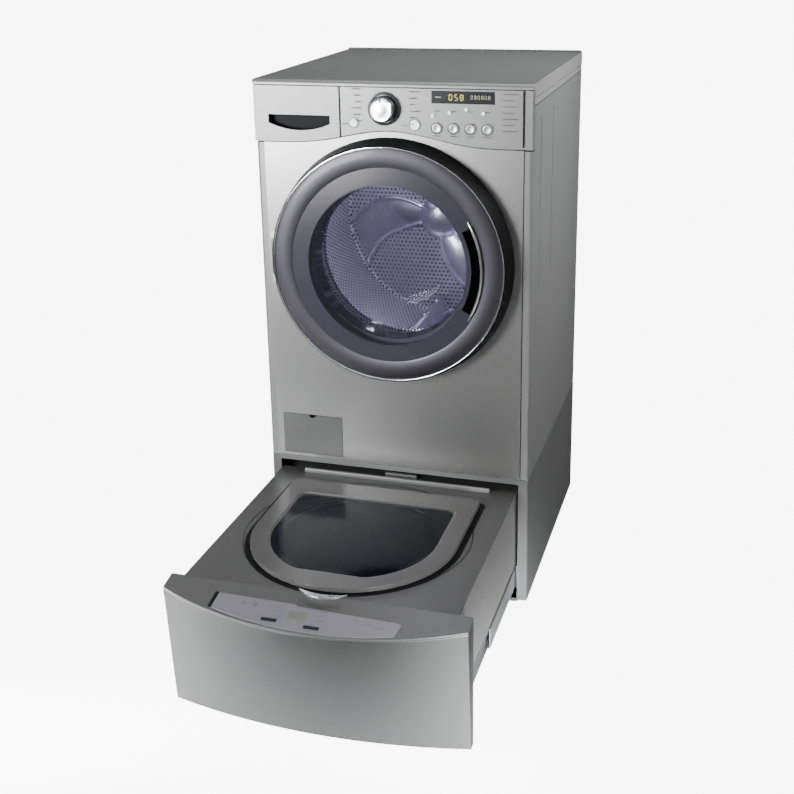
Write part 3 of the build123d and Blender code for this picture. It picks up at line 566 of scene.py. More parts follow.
def cabinet():
    """Sheet cabinet, top with its light nose, front, pump flap and rear cover."""
    sides()
    service_cover()
    eased("front_panel", PAINT_FRONT, 0.7 * MM)
    # The pump flap takes the darker enamel, as painted shade
    eased("pump_access_door", PAINT_FLAP_SHADED, 0.5 * MM)
    top = soften(copy_of("top_plate", "top_with_nose"), 3.0 * MM, 4)
    nose_end = FASCIA + NOSE_DEPTH
    top.data.materials.append(PAINT_TOP)
    paint_faces(top, FASCIA_SILVER, lambda face: face.center.y < nose_end)
    paint_faces(top, PAINT_BAND, lambda face: abs(face.normal.x) > 0.6 and face.center.y > nose_end)
    fit(top, "cabinet", PAINT_TOP, slot_of_node("top_plate"), "top_plate")
    finish_node("base_pan", ZINC)


def cut_level(piece, z):
    """Score a piece all round at one height."""
    pick(piece)
    bpy.ops.object.mode_set(mode="EDIT")
    bpy.ops.mesh.select_all(action="SELECT")
    bpy.ops.mesh.bisect(plane_co=(0, 0, z), plane_no=(0, 0, 1))
    bpy.ops.object.mode_set(mode="OBJECT")


def sides():
    """Side and rear sheet with the pale band under the top and the joint line below it."""
    low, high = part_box("cabinet_shell")
    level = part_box("top_plate")[1].z - BAND_HEIGHT
    shell = soften(copy_of("cabinet_shell", "cabinet_sheet"), 0.6 * MM, 2)
    cut_level(shell, level)
    shell.data.materials.append(PAINT_SIDE)
    paint_faces(shell, PAINT_BAND, lambda face: face.center.z > level)
    fit(shell, "cabinet", PAINT_SIDE, slot_of_node("cabinet_shell"), "cabinet_shell")
    for side, x in (("right", high.x), ("left", low.x)):
        line = slab(f"{side}_joint_line", (x - 0.3 * MM, low.y + 6 * MM, level - 0.9 * MM),
                    (x + 0.3 * MM, high.y - 14 * MM, level + 0.9 * MM))
        fit(soften(line, 0.25 * MM, 2), "cabinet", DARK_JOINTS_AND_POCKET_SHADE, slot_of_node("cabinet_shell"))


def service_cover():
    """Rear service cover and the eight screws round its edge."""
    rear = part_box("cabinet_shell")[1].y
    cover = slab("service_cover", (-190 * MM, rear - 0.6 * MM, 560 * MM),
                 (190 * MM, rear + 1.6 * MM, 1130 * MM))
    fit(soften(cover, 1.0 * MM, 3), "cabinet", ZINC, slot_of_node("cabinet_shell"))
    heads = []
    for x in COVER_SCREW_X:
        for z in COVER_SCREW_Z:
            if (x, z) != (COVER_SCREW_X[1], COVER_SCREW_Z[1]):
                heads.append(lathe("head", profile([(0, 3.4), (3, 3.2), (5, 1.6), (5.4, -0.4)]),
                                   (x * MM, rear + 1.4 * MM, z * MM), "Y", steps=16))
    fit(gather("service_cover_screws", heads), "cabinet", CHROME, slot_of_node("cabinet_shell"),
        smooth=SMOOTH_ROUND)


def fascia():
    """Control panel, dispenser front and the dark joint line at the panel's right end."""
    eased("control_panel", FASCIA_SILVER, 0.8 * MM)
    front = soften(copy_of("dispenser_front", "dispenser_front_eased"), 0.9 * MM, 3)
    front.data.materials.append(FASCIA_SILVER)
    # The finger pocket's faces are painted near black: painted shade in the recess
    paint_faces(front, DARK_JOINTS_AND_POCKET_SHADE, in_pocket)
    fit(front, "dispenser", FASCIA_SILVER, slot_of_node("dispenser_front"), "dispenser_front")
    low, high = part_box("control_panel")
    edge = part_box("front_panel")[1].x
    line = slab("fascia_end_joint", (edge - 1 * MM, FASCIA - 0.3 * MM, low.z + 6 * MM),
                (edge + 1.2 * MM, FASCIA + 2 * MM, high.z - 1 * MM))
    fit(soften(line, 0.3 * MM, 2), "cabinet", DARK_JOINTS_AND_POCKET_SHADE, slot_of_node("control_panel"))


def in_pocket(face):
    """Is the face inside the dispenser's finger pocket?"""
    low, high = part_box("dispenser_front")
    deep = low.y + 1.5 * MM < face.center.y < high.y - 1.5 * MM
    inside = low.x + 20 * MM < face.center.x < high.x - 12 * MM
    return deep and inside and low.z + 25 * MM < face.center.z < high.z - 30 * MM


def knob():
    """Program dial: fixed bezel, dark ring, silver cap and pointer."""
    centre = (KNOB_X, 0, KNOB_Z)
    front = KNOB_LOW.y
    bezel = lathe("knob_bezel", profile([(8, -0.2), (7.4, -4), (3, -5), (2, -1.2)], KNOB_R, FASCIA), centre)
    fit(bezel, "cabinet", KNOB_RING, slot_of_node("control_panel"))
    skirt = profile([(-4, -2.5), (-0.2, -2.5), (-0.4, -8), (-2.5, -9.5)], KNOB_R, FASCIA)
    fit(lathe("knob_ring", skirt, centre), "knob", KNOB_RING, slot_of_node("program_knob"))
    foot = profile([(-3, -3)], KNOB_R, FASCIA)
    crown = profile([(-2.2, 9), (-3, 4), (-5.5, 1.2), (-8, 1.6)], KNOB_R, front)
    middle = [(KNOB_R * 0.4, front + 0.6 * MM), (0, front + 0.2 * MM)]
    cap = lathe("knob_cap", foot + crown + middle, centre)
    fit(cap, "knob", KNOB_CAP, slot_of_node("program_knob"), "program_knob", smooth=50)
    pointer = slab("knob_pointer", (KNOB_X - 1.6 * MM, front + 0.4 * MM, KNOB_Z + KNOB_R - 13 * MM),
                   (KNOB_X + 1.6 * MM, front + 4 * MM, KNOB_Z + KNOB_R - 3 * MM))
    fit(soften(pointer, 0.7 * MM), "knob", LABEL_GREY, slot_of_node("program_knob"))


def push_button(node, material):
    """Domed push button in a thin fixed ring."""
    low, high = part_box(node)
    centre = ((low.x + high.x) / 2, 0, (low.z + high.z) / 2)
    radius = (high.x - low.x) / 2 - 2 * MM
    foot = profile([(-0.1, 2)], radius, FASCIA)
    rim = profile([(-0.1, 1.8), (-1.2, 0.5), (-3.2, 0.3)], radius, low.y)
    dome = [(radius * 0.45, low.y + 0.9 * MM), (0, low.y + 1.1 * MM)]
    cap = lathe(node + "_cap", foot + rim + dome, centre, steps=48)
    fit(cap, body_of_node(node), material, slot_of_node(node), node, smooth=50)
    edge = profile([(0.1, 0.5), (0.2, -0.6), (0.7, -0.8), (1.4, -0.1)], radius, FASCIA)
    ring = lathe(node + "_ring", edge, centre, steps=48)
    fit(ring, "cabinet", FASCIA_SILVER, slot_of_node("control_panel"), smooth=SMOOTH_ROUND)


# Each bar of a seven-segment figure: its place across, its place up, and whether it lies flat
SEGMENTS = {
    "top": (0.5, 1, True), "middle": (0.5, 0.5, True), "bottom": (0.5, 0, True),
    "upper_left": (0, 0.75, False), "upper_right": (1, 0.75, False),
    "lower_left": (0, 0.25, False), "lower_right": (1, 0.25, False),
}
EIGHT = tuple(SEGMENTS)
FIVE = ("top", "middle", "bottom", "upper_left", "lower_right")
ZERO = ("top", "bottom", "upper_left", "upper_right", "lower_left", "lower_right")


def digit(x, z, height, lit, y):
    """One seven-segment figure as small raised bars."""
    width, stroke = height * 0.5, height * 0.14
    bars = []
    for spot in lit:
        across, up, flat = SEGMENTS[spot]
        half_x = width * 0.36 if flat else stroke / 2
        half_z = stroke / 2 if flat else height * 0.19
        cx, cz = x + (across - 0.5) * width, z + (up - 0.5) * height
        bars.append(slab("bar", (cx - half_x, y - 0.25 * MM, cz - half_z),
                         (cx + half_x, y + 0.3 * MM, cz + half_z)))
    return bars


def display():
    """Smoked window with yellow-green figures and paler small ones."""
    screen = soften(copy_of("display_lens", "display_window"), 0.4 * MM, 2)
    fit(screen, "cabinet", SCREEN, slot_of_node("display_lens"), "display_lens")
    width = DISPLAY_HIGH.x - DISPLAY_LOW.x
    z = (DISPLAY_LOW.z + DISPLAY_HIGH.z) / 2
    y = DISPLAY_LOW.y
    bars = []
    for share, lit in ((0.30, ZERO), (0.39, FIVE), (0.48, EIGHT)):
        bars += digit(DISPLAY_LOW.x + share * width, z, 13 * MM, lit, y)
    fit(gather("display_figures", bars), "cabinet", DIGITS, slot_of_node("display_lens"))
    pale = []
    for index in range(6):
        x = DISPLAY_LOW.x + (0.64 + 0.055 * index) * width
        pale += digit(x, z + 1 * MM, 8 * MM, EIGHT if index % 2 else ZERO, y)
    pale.append(slab("bar", (DISPLAY_LOW.x + 8 * MM, y - 0.25 * MM, z - 1 * MM),
                     (DISPLAY_LOW.x + 22 * MM, y, z + 1 * MM)))
    fit(gather("display_small_figures", pale), "cabinet", DIGITS_PALE, slot_of_node("display_lens"))


def mark(x, z, length, height=2.2 * MM):
    """One short printed bar on the fascia, in place of a word."""
    return slab("mark", (x, FASCIA - 0.12 * MM, z - height / 2),
                (x + length, FASCIA + 0.3 * MM, z + height / 2))


def printed_marks():
    """Rows of plain bars where the panel's legends are."""
    marks = []
    for row in range(6):
        z = KNOB_Z + (45 - 15 * row) * MM
        length = (22 - 5 * (row % 3)) * MM
        marks.append(mark(KNOB_X - 58 * MM - length, z, length))
        marks.append(mark(KNOB_X + 62 * MM, z - 4 * MM, length))
    for row in range(7):
        z = DISPLAY_HIGH.z - (4 + 14 * row) * MM
        marks.append(mark(DISPLAY_HIGH.x + 18 * MM, z, (34 - 7 * (row % 2)) * MM, 1.4 * MM))
    for number in range(1, 5):
        low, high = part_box(f"option_button_{number}")
        middle = (low.x + high.x) / 2
        marks.append(mark(middle - 9 * MM, low.z - 4 * MM, 18 * MM, 1.6 * MM))
        marks.append(mark(middle - 7 * MM, high.z + 26 * MM, 14 * MM, 1.4 * MM))
    for node in ("power_button", "start_button"):
        low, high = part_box(node)
        marks.append(mark(low.x - 16 * MM, (low.z + high.z) / 2 - 3 * MM, 12 * MM, 1.6 * MM))
    fit(gather("fascia_legends", marks), "cabinet", LABEL_GREY, slot_of_node("control_panel"))


def status_lamps():
    """Four small lit keys above the option buttons."""
    dome = profile([(4.2, 1), (4.1, -0.7), (2.6, -1.3), (0, -1.5)], level=FASCIA)
    for number, rise in zip(range(1, 5), (15, 23, 31, 23)):
        low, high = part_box(f"option_button_{number}")
        centre = ((low.x + high.x) / 2 - 9 * MM, 0, high.z + rise * MM)
        lit_key = lathe(f"status_lamp_{number}", dome, centre, steps=32)
        fit(lit_key, "cabinet", WHITE_LIT, slot_of_node("control_panel"))


# ---------------------------------------------------------------- door

def door():
    """Door: black wall, rings, smoked window, bowl and grip, with its hinge and hook."""
    centre = (0, 0, DOOR_Z)
    eased("door_frame", BLACK, 0.6 * MM)
    door_rims(centre)
    tinted_ring(centre)
    window(centre)
    door_bowl(centre)
    grip(centre)
    finish_node("hinge_bracket", ZINC)
    finish_node("hinge_arm", CAST)
    finish_node("latch_hook", ZINC)


def door_rims(centre):
    """Bright rim round the tinted ring, and the black lip outside it."""
    inner = profile([(-1.5, 2), (-0.8, -1.6)], COVER_R, COVER_Y)
    outer = profile([(0.6, 0.2), (2.0, 0.6), (2.6, 3.0)], COVER_R, RIM_Y)
    ring = lathe("door_bright_rim", inner + outer, centre, steps=RING_STEPS)
    fit(ring, "door", CHROME, slot_of_node("door_trim_ring"), "door_trim_ring", smooth=SMOOTH_ROUND)
    inner = profile([(2.4, 3.2), (2.8, 1.4)], COVER_R, RIM_Y)
    outer = profile([(-1.0, 1.8), (0, 3.4), (0, 7.0)], RIM_R, RIM_Y)
    lip = lathe("door_black_lip", inner + outer, centre, steps=RING_STEPS)
    fit(lip, "door", BLACK, slot_of_node("door_frame"), smooth=SMOOTH_ROUND)


def door_bowl(centre):
    """Glass bowl with its painted flange."""
    flange = profile([(235, -18), (235, -14), (194, -14)], level=FRONT)
    glass = profile([(188, -2), (182, 20), (170, 46), (152, 68), (130, 80), (90, 83), (0, 84)], level=FRONT)
    piece = lathe("door_bowl", flange + glass, centre)
    piece.data.materials.append(BOWL)
    paint_faces(piece, BOWL_FLANGE, lambda face: from_door_axis(face) > BOWL_FLANGE_R)
    fit(piece, "door", BOWL, slot_of_node("door_glass"), "door_glass", smooth=SMOOTH_ROUND)


def tinted_ring(centre):
    """Slightly crowned charcoal ring between the rim and the window."""
    edge = profile([(-0.6, 3.6), (-0.6, 0.6), (-6, -1.2)], COVER_R, COVER_Y)
    crown = profile([(262, -1.8), (246, -0.6), (240.5, 1.0), (240.5, 3.6)], level=COVER_Y)
    ring = lathe("door_tinted_ring", edge + crown + edge[:1], centre, steps=RING_STEPS)
    fit(ring, "door", COVER_TINT, slot_of_node("door_cover"), "door_cover", smooth=50)


def window(centre):
    """Smoked pane with its dark band inside the tinted ring, left open over the hand pocket."""
    pocket_edge = (209, 0.4825)
    crown = profile([pocket_edge, (198, 0.3), (90, -0.3), (0, -0.4)], level=COVER_Y)
    disc = lathe("disc", crown, centre, steps=RING_STEPS)
    edge = profile([(240.2, 3.4), (240.2, 1.0), pocket_edge], level=COVER_Y)
    turn = 360 - 2 * HAND_POCKET_TURN
    band = lathe("band", edge, centre, steps=RING_STEPS * turn // 360, angle=turn, start=HAND_POCKET_TURN)
    pane = gather("door_window", [disc, band])
    bpy.ops.object.mode_set(mode="EDIT")
    tidy_mesh()
    pane.data.materials.append(WINDOW)
    paint_faces(pane, WINDOW_BAND, lambda face: from_door_axis(face) > WINDOW_BAND_R)
    fit(pane, "door", WINDOW, slot_of_node("door_cover"), smooth=50)


def cap_ends(piece):
    """Close the open ends of a part-turned piece."""
    pick(piece)
    bpy.ops.object.mode_set(mode="EDIT")
    bpy.ops.mesh.select_all(action="DESELECT")
    bpy.ops.mesh.select_non_manifold()
    bpy.ops.mesh.edge_face_add()
    tidy_mesh()


def narrow_ring(arc, angle, factor):
    """Draw in one ring of the grip towards the middle of its underside."""
    pick(arc)
    for vertex in arc.data.vertices:
        own = math.degrees(math.atan2(vertex.co.z - DOOR_Z, vertex.co.x))
        vertex.select = abs(own - angle) < 0.3
    for edge in arc.data.edges:
        edge.select = all(arc.data.vertices[corner].select for corner in edge.vertices)
    for face in arc.data.polygons:
        face.select = False
    turn = math.radians(angle)
    base = (GRIP_R * math.cos(turn), COVER_Y - 0.6 * MM, DOOR_Z + GRIP_R * math.sin(turn))
    bpy.ops.object.mode_set(mode="EDIT")
    bpy.ops.transform.resize(value=(factor, factor, factor), center_override=base)
    bpy.ops.object.mode_set(mode="OBJECT")


def grip(centre):
    """Slim bright arc with tapered tips over the hand pocket."""
    tube = []
    for index in range(9):
        turn = 2 * math.pi * index / 8
        tube.append((GRIP_R + 3.6 * MM * math.cos(turn), COVER_Y - 3.4 * MM + 3.0 * MM * math.sin(turn)))
    arc = lathe("door_grip", tube, centre, steps=GRIP_STEPS, angle=GRIP_SWEEP, start=-GRIP_SWEEP / 2)
    for ring in range(GRIP_TAPER_RINGS):
        angle = GRIP_SWEEP / 2 - ring * GRIP_SWEEP / GRIP_STEPS
        factor = 0.15 + 0.85 * math.sin(math.pi * ring / (2 * GRIP_TAPER_RINGS))
        for side in (-1, 1):
            narrow_ring(arc, side * angle, factor)
    cap_ends(arc)
    fit(arc, "door", CHROME, slot_of_node("door_handle"), "door_handle", smooth=SMOOTH_ROUND)


# ---------------------------------------------------------------- drum and inner works

def drum():
    """Perforated drum, its paddles and the pressed star of its rear wall."""
    y0, y1 = DRUM_LOW.y, DRUM_HIGH.y
    centre = (0, 0, DOOR_Z)
    mouth = profile([(206, 2), (212, 0)], level=y0)
    outside = profile([(-6, 0), (0, 6)], DRUM_R, y0) + profile([(0, -6), (-6, 0)], DRUM_R, y1)
    middle = profile([(60, 0), (60, -2)], level=y1)
    inside = profile([(-8, -3), (-2, -10)], DRUM_R, y1) + profile([(-2, 8), (-7, 3)], DRUM_R, y0)
    lip = profile([(214, 3), (208, 5), (206, 2)], level=y0)
    wall = lathe("drum_wall", mouth + outside + middle + inside + lip, centre, steps=128)
    fit(wall, "drum", DRUM_STEEL_VIOLET_LIT, slot_of_node("drum_shell"), "drum_shell", smooth=40)
    for index in range(3):
        spoke(index, y1)
        paddle(index, y0, y1)
    dome = profile([(62, -3), (52, -16), (30, -22), (0, -24)], level=y1)
    hub = lathe("drum_hub", dome, centre, steps=48)
    fit(hub, "drum", PLAIN_STEEL_VIOLET_LIT, slot_of_node("drum_shell"), smooth=SMOOTH_ROUND)


def swirl(share, side):
    """A place on a star arm: share 0 at the hub and 1 at the rim; side -1 and 1 are its edges."""
    reach = 56 + 204 * share
    half = math.radians(side * (STAR_SPREAD + 8 * (1 - share)))
    turn = math.radians(90 + STAR_SWING * share * share) + half
    return reach * MM * math.cos(turn), DOOR_Z + reach * MM * math.sin(turn)


def bead(name, y, side):
    """A rounded rib along one edge of a star arm."""
    left, right = [], []
    for index in range(STAR_STEPS + 1):
        share = index / STAR_STEPS
        x, z = swirl(share, side)
        ahead_x, ahead_z = swirl(share + 0.02, side)
        run = math.hypot(ahead_x - x, ahead_z - z)
        across = Vector((-(ahead_z - z) / run, 0, (ahead_x - x) / run)) * (4 + 2 * share) * MM
        left.append(Vector((x, y, z)) + across)
        right.append(Vector((x, y, z)) - across)
    return soften(plate(name, left + right[::-1], (0, -11 * MM, 0)), 3.4 * MM, 4, 25)


def spoke(index, y1):
    """One plain pressed arm of the drum's rear wall between two rounded ribs."""
    y = y1 - 3 * MM
    there = [swirl(step / STAR_STEPS, 1) for step in range(STAR_STEPS + 1)]
    back = [swirl(step / STAR_STEPS, -1) for step in range(STAR_STEPS, -1, -1)]
    sheet = plate("arm", [(x, y, z) for x, z in there + back], (0, -3 * MM, 0))
    arm = soften(sheet, 0.8 * MM, 2, 30)
    piece = gather(f"drum_star_arm_{index + 1}", [arm, bead("bead_left", y, 1), bead("bead_right", y, -1)])
    turn_about_drum(piece, -36 + 120 * index)
    fit(piece, "drum", PLAIN_STEEL_VIOLET_LIT, slot_of_node("drum_shell"), smooth=SMOOTH_ROUND)


def paddle(index, y0, y1):
    """One lifting paddle on the drum's wall, as an arch with a rounded crest and three screws."""
    low = DOOR_Z - (DRUM_R - 3 * MM)
    front, rear = y0 + 30 * MM, y1 - 20 * MM
    half, rise = 30 * MM, 44 * MM
    flank = [(half, low + 2 * MM), (half * 0.5, low + rise * 0.8), (half * 0.2, low + rise)]
    outline = [(-x, front, z) for x, z in flank] + [(x, front, z) for x, z in flank[::-1]]
    piece = plate(f"drum_paddle_{index + 1}", outline, (0, rear - front, 0))
    soften(piece, 7 * MM, 4, 20)
    turn_about_drum(piece, 120 * index)
    nodes = ("drum_lifters",) if index == 0 else ()
    fit(piece, "drum", PLAIN_STEEL_VIOLET_LIT, slot_of_node("drum_lifters"), *nodes, smooth=SMOOTH_ROUND)
    heads = []
    for share in (0.12, 0.5, 0.88):
        y = front + share * (rear - front)
        heads.append(lathe("head", profile([(6, 0), (5.4, 2.4), (3, 3.6), (0, 4.0)]),
                           (0, y, low + rise - 0.5 * MM), "Z", steps=20))
    screws = gather(f"paddle_screws_{index + 1}", heads)
    turn_about_drum(screws, 120 * index)
    fit(screws, "drum", CHROME, slot_of_node("drum_lifters"), smooth=SMOOTH_ROUND)


def turn_about_drum(piece, degrees):
    """Turn a piece's mesh about the drum's axis."""
    pick(piece)
    bpy.ops.object.mode_set(mode="EDIT")
    bpy.ops.mesh.select_all(action="SELECT")
    bpy.ops.transform.rotate(value=math.radians(degrees), orient_axis="Y", center_override=(0, 0, DOOR_Z))
    bpy.ops.object.mode_set(mode="OBJECT")


def gasket():
    """Door bellows as a merged copy of the imported part, attached to no body."""
    piece = fit(copy_of("door_gasket", "door_bellows"), None, RUBBER, slot_of_node("door_gasket"),
                "door_gasket", smooth=50)
    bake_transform(piece)


def inner_works():
    """Bellows, and the surfaces of the parts behind the panels."""
    gasket()
    for material, nodes in (
        (BLACK, ("door_lock",)),
        (TUB_PLASTIC, ("tub_front", "tub_rear", "mini_tub")),
        (CHROME, ("tub_bearings", "suspension_springs", "damper_rods")),
        (CONCRETE, ("counterweights",)),
        (CAST, ("drum_spider",)),
        (MOTOR, ("motor_stator", "motor_rotor", "mini_motor")),
        (GREY_PLASTIC, ("damper_cylinders", "filter_cap", "drain_spigot", "dispenser_housing")),
        (WHITE_PLASTIC, ("drain_pump", "inlet_valve", "dispenser_tray")),
        (ZINC, ("rail_outer", "rail_middle", "rail_inner")),
        (FOOT_RUBBER, ("pedestal_feet",)),
        (BOX_STEEL, ("drawer_box",)),
    ):
        for node in nodes:
            finish_node(node, material)


# ---------------------------------------------------------------- pedestal washer

def pedestal():
    """Lower cabinet and the drawer's bowed front."""
    eased("pedestal_cabinet", PAINT_PEDESTAL, 0.8 * MM)
    eased("drawer_front", DRAWER_STEEL, 2.2 * MM)
    eased("mini_control_strip", PAINT_DECK, 2.0 * MM)
    eased("deck_rear_bar", BAR_GREY, 0.8 * MM)


def round_groove(inner, outer, depth):
    """A cutter for the pressed ring groove round the lid, with its sizes in millimetres."""
    shape = profile([(inner, 3), (inner, -0.6 * depth), ((inner + outer) / 2, -depth),
                     (outer, -0.6 * depth), (outer, 3), (inner, 3)], level=DECK_TOP)
    return lathe("groove", shape, (0, LID_CENTRE + 22 * MM, 0), "Z", steps=128)


def deck():
    """Drawer top with the pressed groove round the lid, a black plate in the gap round it as painted shade,
    and the catch behind it.
    """
    sheet = copy_of("drawer_deck", "deck_pressed")
    carve(sheet, round_groove(266, 271, 3.0))
    sheet.data.materials.append(PAINT_DECK)
    fit(soften(sheet, 0.5 * MM, 2), "drawer", PAINT_DECK, slot_of_node("drawer_deck"), "drawer_deck")
    # A black plate in the gap round the lid: painted shade in the recess
    gap = shield_plate("lid_gap_painted_shade", LID_GAP_SHADE_HALF, LID_REAR + 5 * MM, DECK_TOP - 0.4 * MM, DECK_TOP + 0.7 * MM)
    plug = profile([(0, -5), (188, -5), (188, 5), (0, 5)], level=DECK_TOP)
    carve(gap, lathe("opening", plug, (0, BASKET_Y, 0), "Z"))
    fit(soften(gap, 0.3 * MM, 2), "drawer", BLACK, slot_of_node("drawer_deck"))
    catch = slab("drawer_catch", (-33 * MM, 2 * MM, DECK_TOP - 1 * MM), (51 * MM, 13 * MM, DECK_TOP + 8 * MM))
    fit(soften(catch, 1.5 * MM, 3), "drawer", BAR_GREY, slot_of_node("deck_rear_bar"))


def shield(half, rear, front=None):
    """A U-shaped outline with a straight rear edge; its round front is cut flat where front says."""
    corner, cut = LID_CORNER * MM, LID_CORNER * 0.3 * MM
    shoulder = [(half - corner, rear), (half - cut, rear - cut), (half, rear - corner)]
    bow = []
    for index in range(33):
        turn = math.pi * index / 32
        y = LID_CENTRE - half * math.sin(turn)
        bow.append((half * math.cos(turn), y if front is None else max(y, front)))
    return shoulder + bow + [(-x, y) for x, y in shoulder[::-1]]


def shield_plate(name, half, rear, low, high, front=None):
    """A plate of that outline between two heights."""
    outline = [(x, y, low) for x, y in shield(half, rear, front)]
    return plate(name, outline, (0, 0, high - low))


def lid():
    """Lid ring with its inner step, smoked pane and bright crescent pull."""
    ring = shield_plate("lid_ring", LID_HALF, LID_REAR, LID_LOW.z + 1.0 * MM, LID_TOP)
    carve(ring, shield_plate("opening", 196 * MM, LID_REAR - 74 * MM, LID_LOW.z - 9 * MM, LID_TOP + 9 * MM,
                             LID_CENTRE - 178 * MM))
    carve(ring, shield_plate("step", 201 * MM, LID_REAR - 69 * MM, LID_TOP - 2.2 * MM, LID_TOP + 9 * MM,
                             LID_CENTRE - 183 * MM))
    fit(soften(ring, 2.0 * MM, 3, 40), "lid", LID_RING, slot_of_node("lid_frame"), "lid_frame")
    pane = shield_plate("lid_pane", 200.4 * MM, LID_REAR - 69.6 * MM, LID_TOP - 6.4 * MM,
                        LID_TOP - 2.6 * MM, LID_CENTRE - 182.4 * MM)
    fit(soften(pane, 0.6 * MM, 2, 40), "lid", LID_PANE, slot_of_node("lid_glass"), "lid_glass")
    pull = copy_of("lid_handle", "lid_pull")
    bpy.ops.object.mode_set(mode="EDIT")
    bpy.ops.mesh.select_all(action="SELECT")
    bpy.ops.transform.translate(value=(0, LID_CENTRE - LID_HALF - LID_LOW.y - 2 * MM, 0))
    bpy.ops.object.mode_set(mode="OBJECT")
    fit(soften(pull, 1.2 * MM, 2), "lid", CHROME, slot_of_node("lid_handle"), "lid_handle")


def on_cap(x, y, lift=0.0):
    """A place on the cap's sloping top, y measured from the cap's rear edge."""
    return Vector((x * MM, CAP_HIGH.y + y * MM, CAP_HIGH.z + y * CAP_SLOPE * MM + lift * MM))


def cap_plate(name, places, lift, height):
    """A thin plate lying on the cap's sloping top."""
    return plate(name, [on_cap(x, y, lift) for x, y in places], (0, 0, height * MM))


def cap_key(name, x, y, length, depth, height, lift=0.4):
    """A small rectangle on the cap's sloping top, centred at a place."""
    corners = [(x - length / 2, y - depth / 2), (x + length / 2, y - depth / 2),
               (x + length / 2, y + depth / 2), (x - length / 2, y + depth / 2)]
    return cap_plate(name, corners, lift, height)


def strip():
    """Control strip of the mini washer: plate, screen, keys and plain marks."""
    slot = slot_of_node("mini_control_strip")
    bow = [(-211, -83), (-150, -99), (-75, -110), (0, -114), (70, -112), (140, -103), (198, -88)]
    rear = [(204, -54), (190, -50), (-26, -45), (-34, -40), (-211, -38)]
    fit(soften(cap_plate("strip_plate", bow + rear, -0.6, 1.6), 0.6 * MM, 2), "drawer", STRIP, slot)
    fit(soften(cap_key("strip_end", -215, -60, 8, 46, 1.9, -0.6), 0.7 * MM, 2), "drawer", BLACK, slot)
    fit(soften(cap_key("strip_screen", -20, -72, 42, 26, 1.0), 0.4 * MM, 2), "drawer", LCD, slot)
    figures = [cap_key("figure", x, -72, 7, 15, 1.4) for x in (-30, -20, -10)]
    fit(gather("strip_figures", figures), "drawer", LABEL_GREY, slot)
    keys = [cap_key("key", x, y, 34, 9, 1.6) for x, y in ((-74, -94), (22, -99))]
    fit(soften(gather("strip_keys", keys), 0.6 * MM, 2), "drawer", DARK_JOINTS_AND_POCKET_SHADE, slot)
    marks = []
    for row in range(3):
        marks.append(cap_key("mark", -64 + 2 * row, -58 - 12 * row, 22 - 4 * row, 2.4, 1.2))
        marks.append(cap_key("mark", 30 + 2 * row, -54 - 12 * row, 24 - 3 * row, 2.4, 1.2))
        marks.append(cap_key("mark", 104 + 30 * row, -62 - 5 * row, 18, 2.2, 1.2))
    for x in (-146, -120):
        marks.append(cap_key("mark", x, -58, 7, 14, 1.2))
    fit(gather("strip_marks", marks), "drawer", LABEL_GREY, slot)


# ---------------------------------------------------------------- mini basket

def basket():
    """Perforated spinning basket and the washing plate."""
    low, high = BASKET_LOW.z, BASKET_HIGH.z
    mouth = profile([(188, -1), (196, 0)], level=high)
    outside = profile([(-1, -4), (0, -12)], BASKET_R, high) + profile([(0, 30), (-10, 18)], BASKET_R, low)
    socket = profile([(12, 18), (12, 0), (6.1, 0), (6.1, 21)], level=low)
    inside = profile([(-14, 21), (-3, 32)], BASKET_R, low) + profile([(-3, -12)], BASKET_R, high)
    lip = profile([(196, -3), (188, -1)], level=high)
    wall = lathe("mini_basket_wall", mouth + outside + socket + inside + lip, (0, BASKET_Y, 0), "Z")
    fit(wall, "basket", MINI_STEEL_SHADED, slot_of_node("mini_basket"), "mini_basket", smooth=40)
    eased("pulsator", GREY_PLASTIC, 3 * MM)


# ---------------------------------------------------------------- stage, light and camera

def stage():
    """Pale floor and backdrop."""
    bpy.ops.object.select_all(action="DESELECT")
    bpy.ops.mesh.primitive_plane_add(size=60, location=(0, 4, 0))
    floor = bpy.context.object
    floor.name = "floor"
    floor.data.materials.append(FLOOR)
    world = bpy.data.worlds.new("studio")
    bpy.context.scene.world = world
    world.use_nodes = True
    tree = world.node_tree
    background = tree.nodes["Background"]
    background.inputs["Color"].default_value = (1.0, 1.0, 1.0, 1)
    seen = tree.nodes.new("ShaderNodeLightPath")
    strength = tree.nodes.new("ShaderNodeMapRange")
    strength.inputs["To Min"].default_value = 0.34
    strength.inputs["To Max"].default_value = BACKDROP_LIFT
    tree.links.new(seen.outputs["Is Camera Ray"], strength.inputs["Value"])
    tree.links.new(strength.outputs["Result"], background.inputs["Strength"])


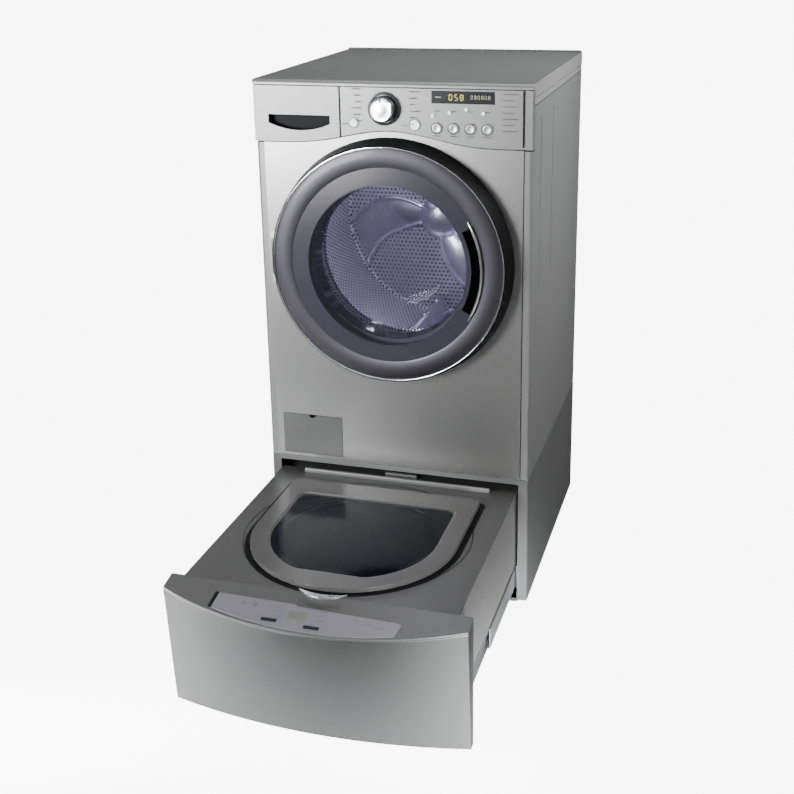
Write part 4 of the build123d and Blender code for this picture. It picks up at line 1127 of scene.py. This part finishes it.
def lamps():
    """Soft lights round the machine, and the small violet one inside the drum."""
    lamp("key_softbox", (-1.25, -2.3, 1.2), (-0.35, 0, 1.3), 42, 0.8, 110)
    lamp("left_strip", (-2.3, -1.45, 0.2), (-0.31, -0.7, -0.1), 31, 0.4, 17)
    lamp("right_strip", (1.35, -2.2, 0.2), (0.34, -0.62, -0.04), 15, 0.35, 21)
    lamp("side_wash", (2.0, 0.3, 2.7), (0.34, 0.3, 1.4), 10, 0.8, 44)
    lamp("overhead_wash", (0.2, 0.3, 4.2), (0, 0.2, 0), 55, 2.6)
    glow = bpy.data.lights.new("drum_lamp", "POINT")
    glow.energy = 4.6
    glow.color = (0.84, 0.81, 1.0)
    glow.shadow_soft_size = 0.02
    bulb = bpy.data.objects.new("drum_lamp", glow)
    bulb.location = (-0.02, DRUM_LOW.y + 0.05, DOOR_Z + 0.17)
    bpy.context.scene.collection.objects.link(bulb)


def lamp(name, position, target, power, size, spread=180):
    """A square soft light aimed at a point, its beam as wide as spread in degrees."""
    light = bpy.data.lights.new(name, "AREA")
    light.energy = power
    light.size = size
    light.spread = math.radians(spread)
    holder = bpy.data.objects.new(name, light)
    holder.location = position
    holder.rotation_euler = (Vector(target) - Vector(position)).to_track_quat("-Z", "Y").to_euler()
    bpy.context.scene.collection.objects.link(holder)


def camera():
    """Camera in front of the machine, above it and to its right."""
    data = bpy.data.cameras.new("camera")
    data.sensor_width = 36
    data.lens = 55.5
    data.shift_y = -0.13
    holder = bpy.data.objects.new("camera", data)
    yaw, pitch, roll = (math.radians(angle) for angle in (17.13, 16.97, -1.01))
    aim = Matrix.Rotation(yaw, 4, "Z") @ Matrix.Rotation(math.pi / 2 - pitch, 4, "X")
    turn = aim @ Matrix.Rotation(roll, 4, "Z")
    holder.matrix_world = Matrix.Translation((0.855, FRONT - 2.739, 1.694)) @ turn
    bpy.context.scene.collection.objects.link(holder)
    bpy.context.scene.camera = holder


camera()
stage()
lamps()
cabinet()
fascia()
knob()
push_button("power_button", WHITE_LIT)
push_button("start_button", WHITE_LIT)
for number in range(1, 5):
    push_button(f"option_button_{number}", BUTTON_SILVER)
display()
printed_marks()
status_lamps()
door()
drum()
inner_works()
pedestal()
deck()
lid()
strip()
basket()
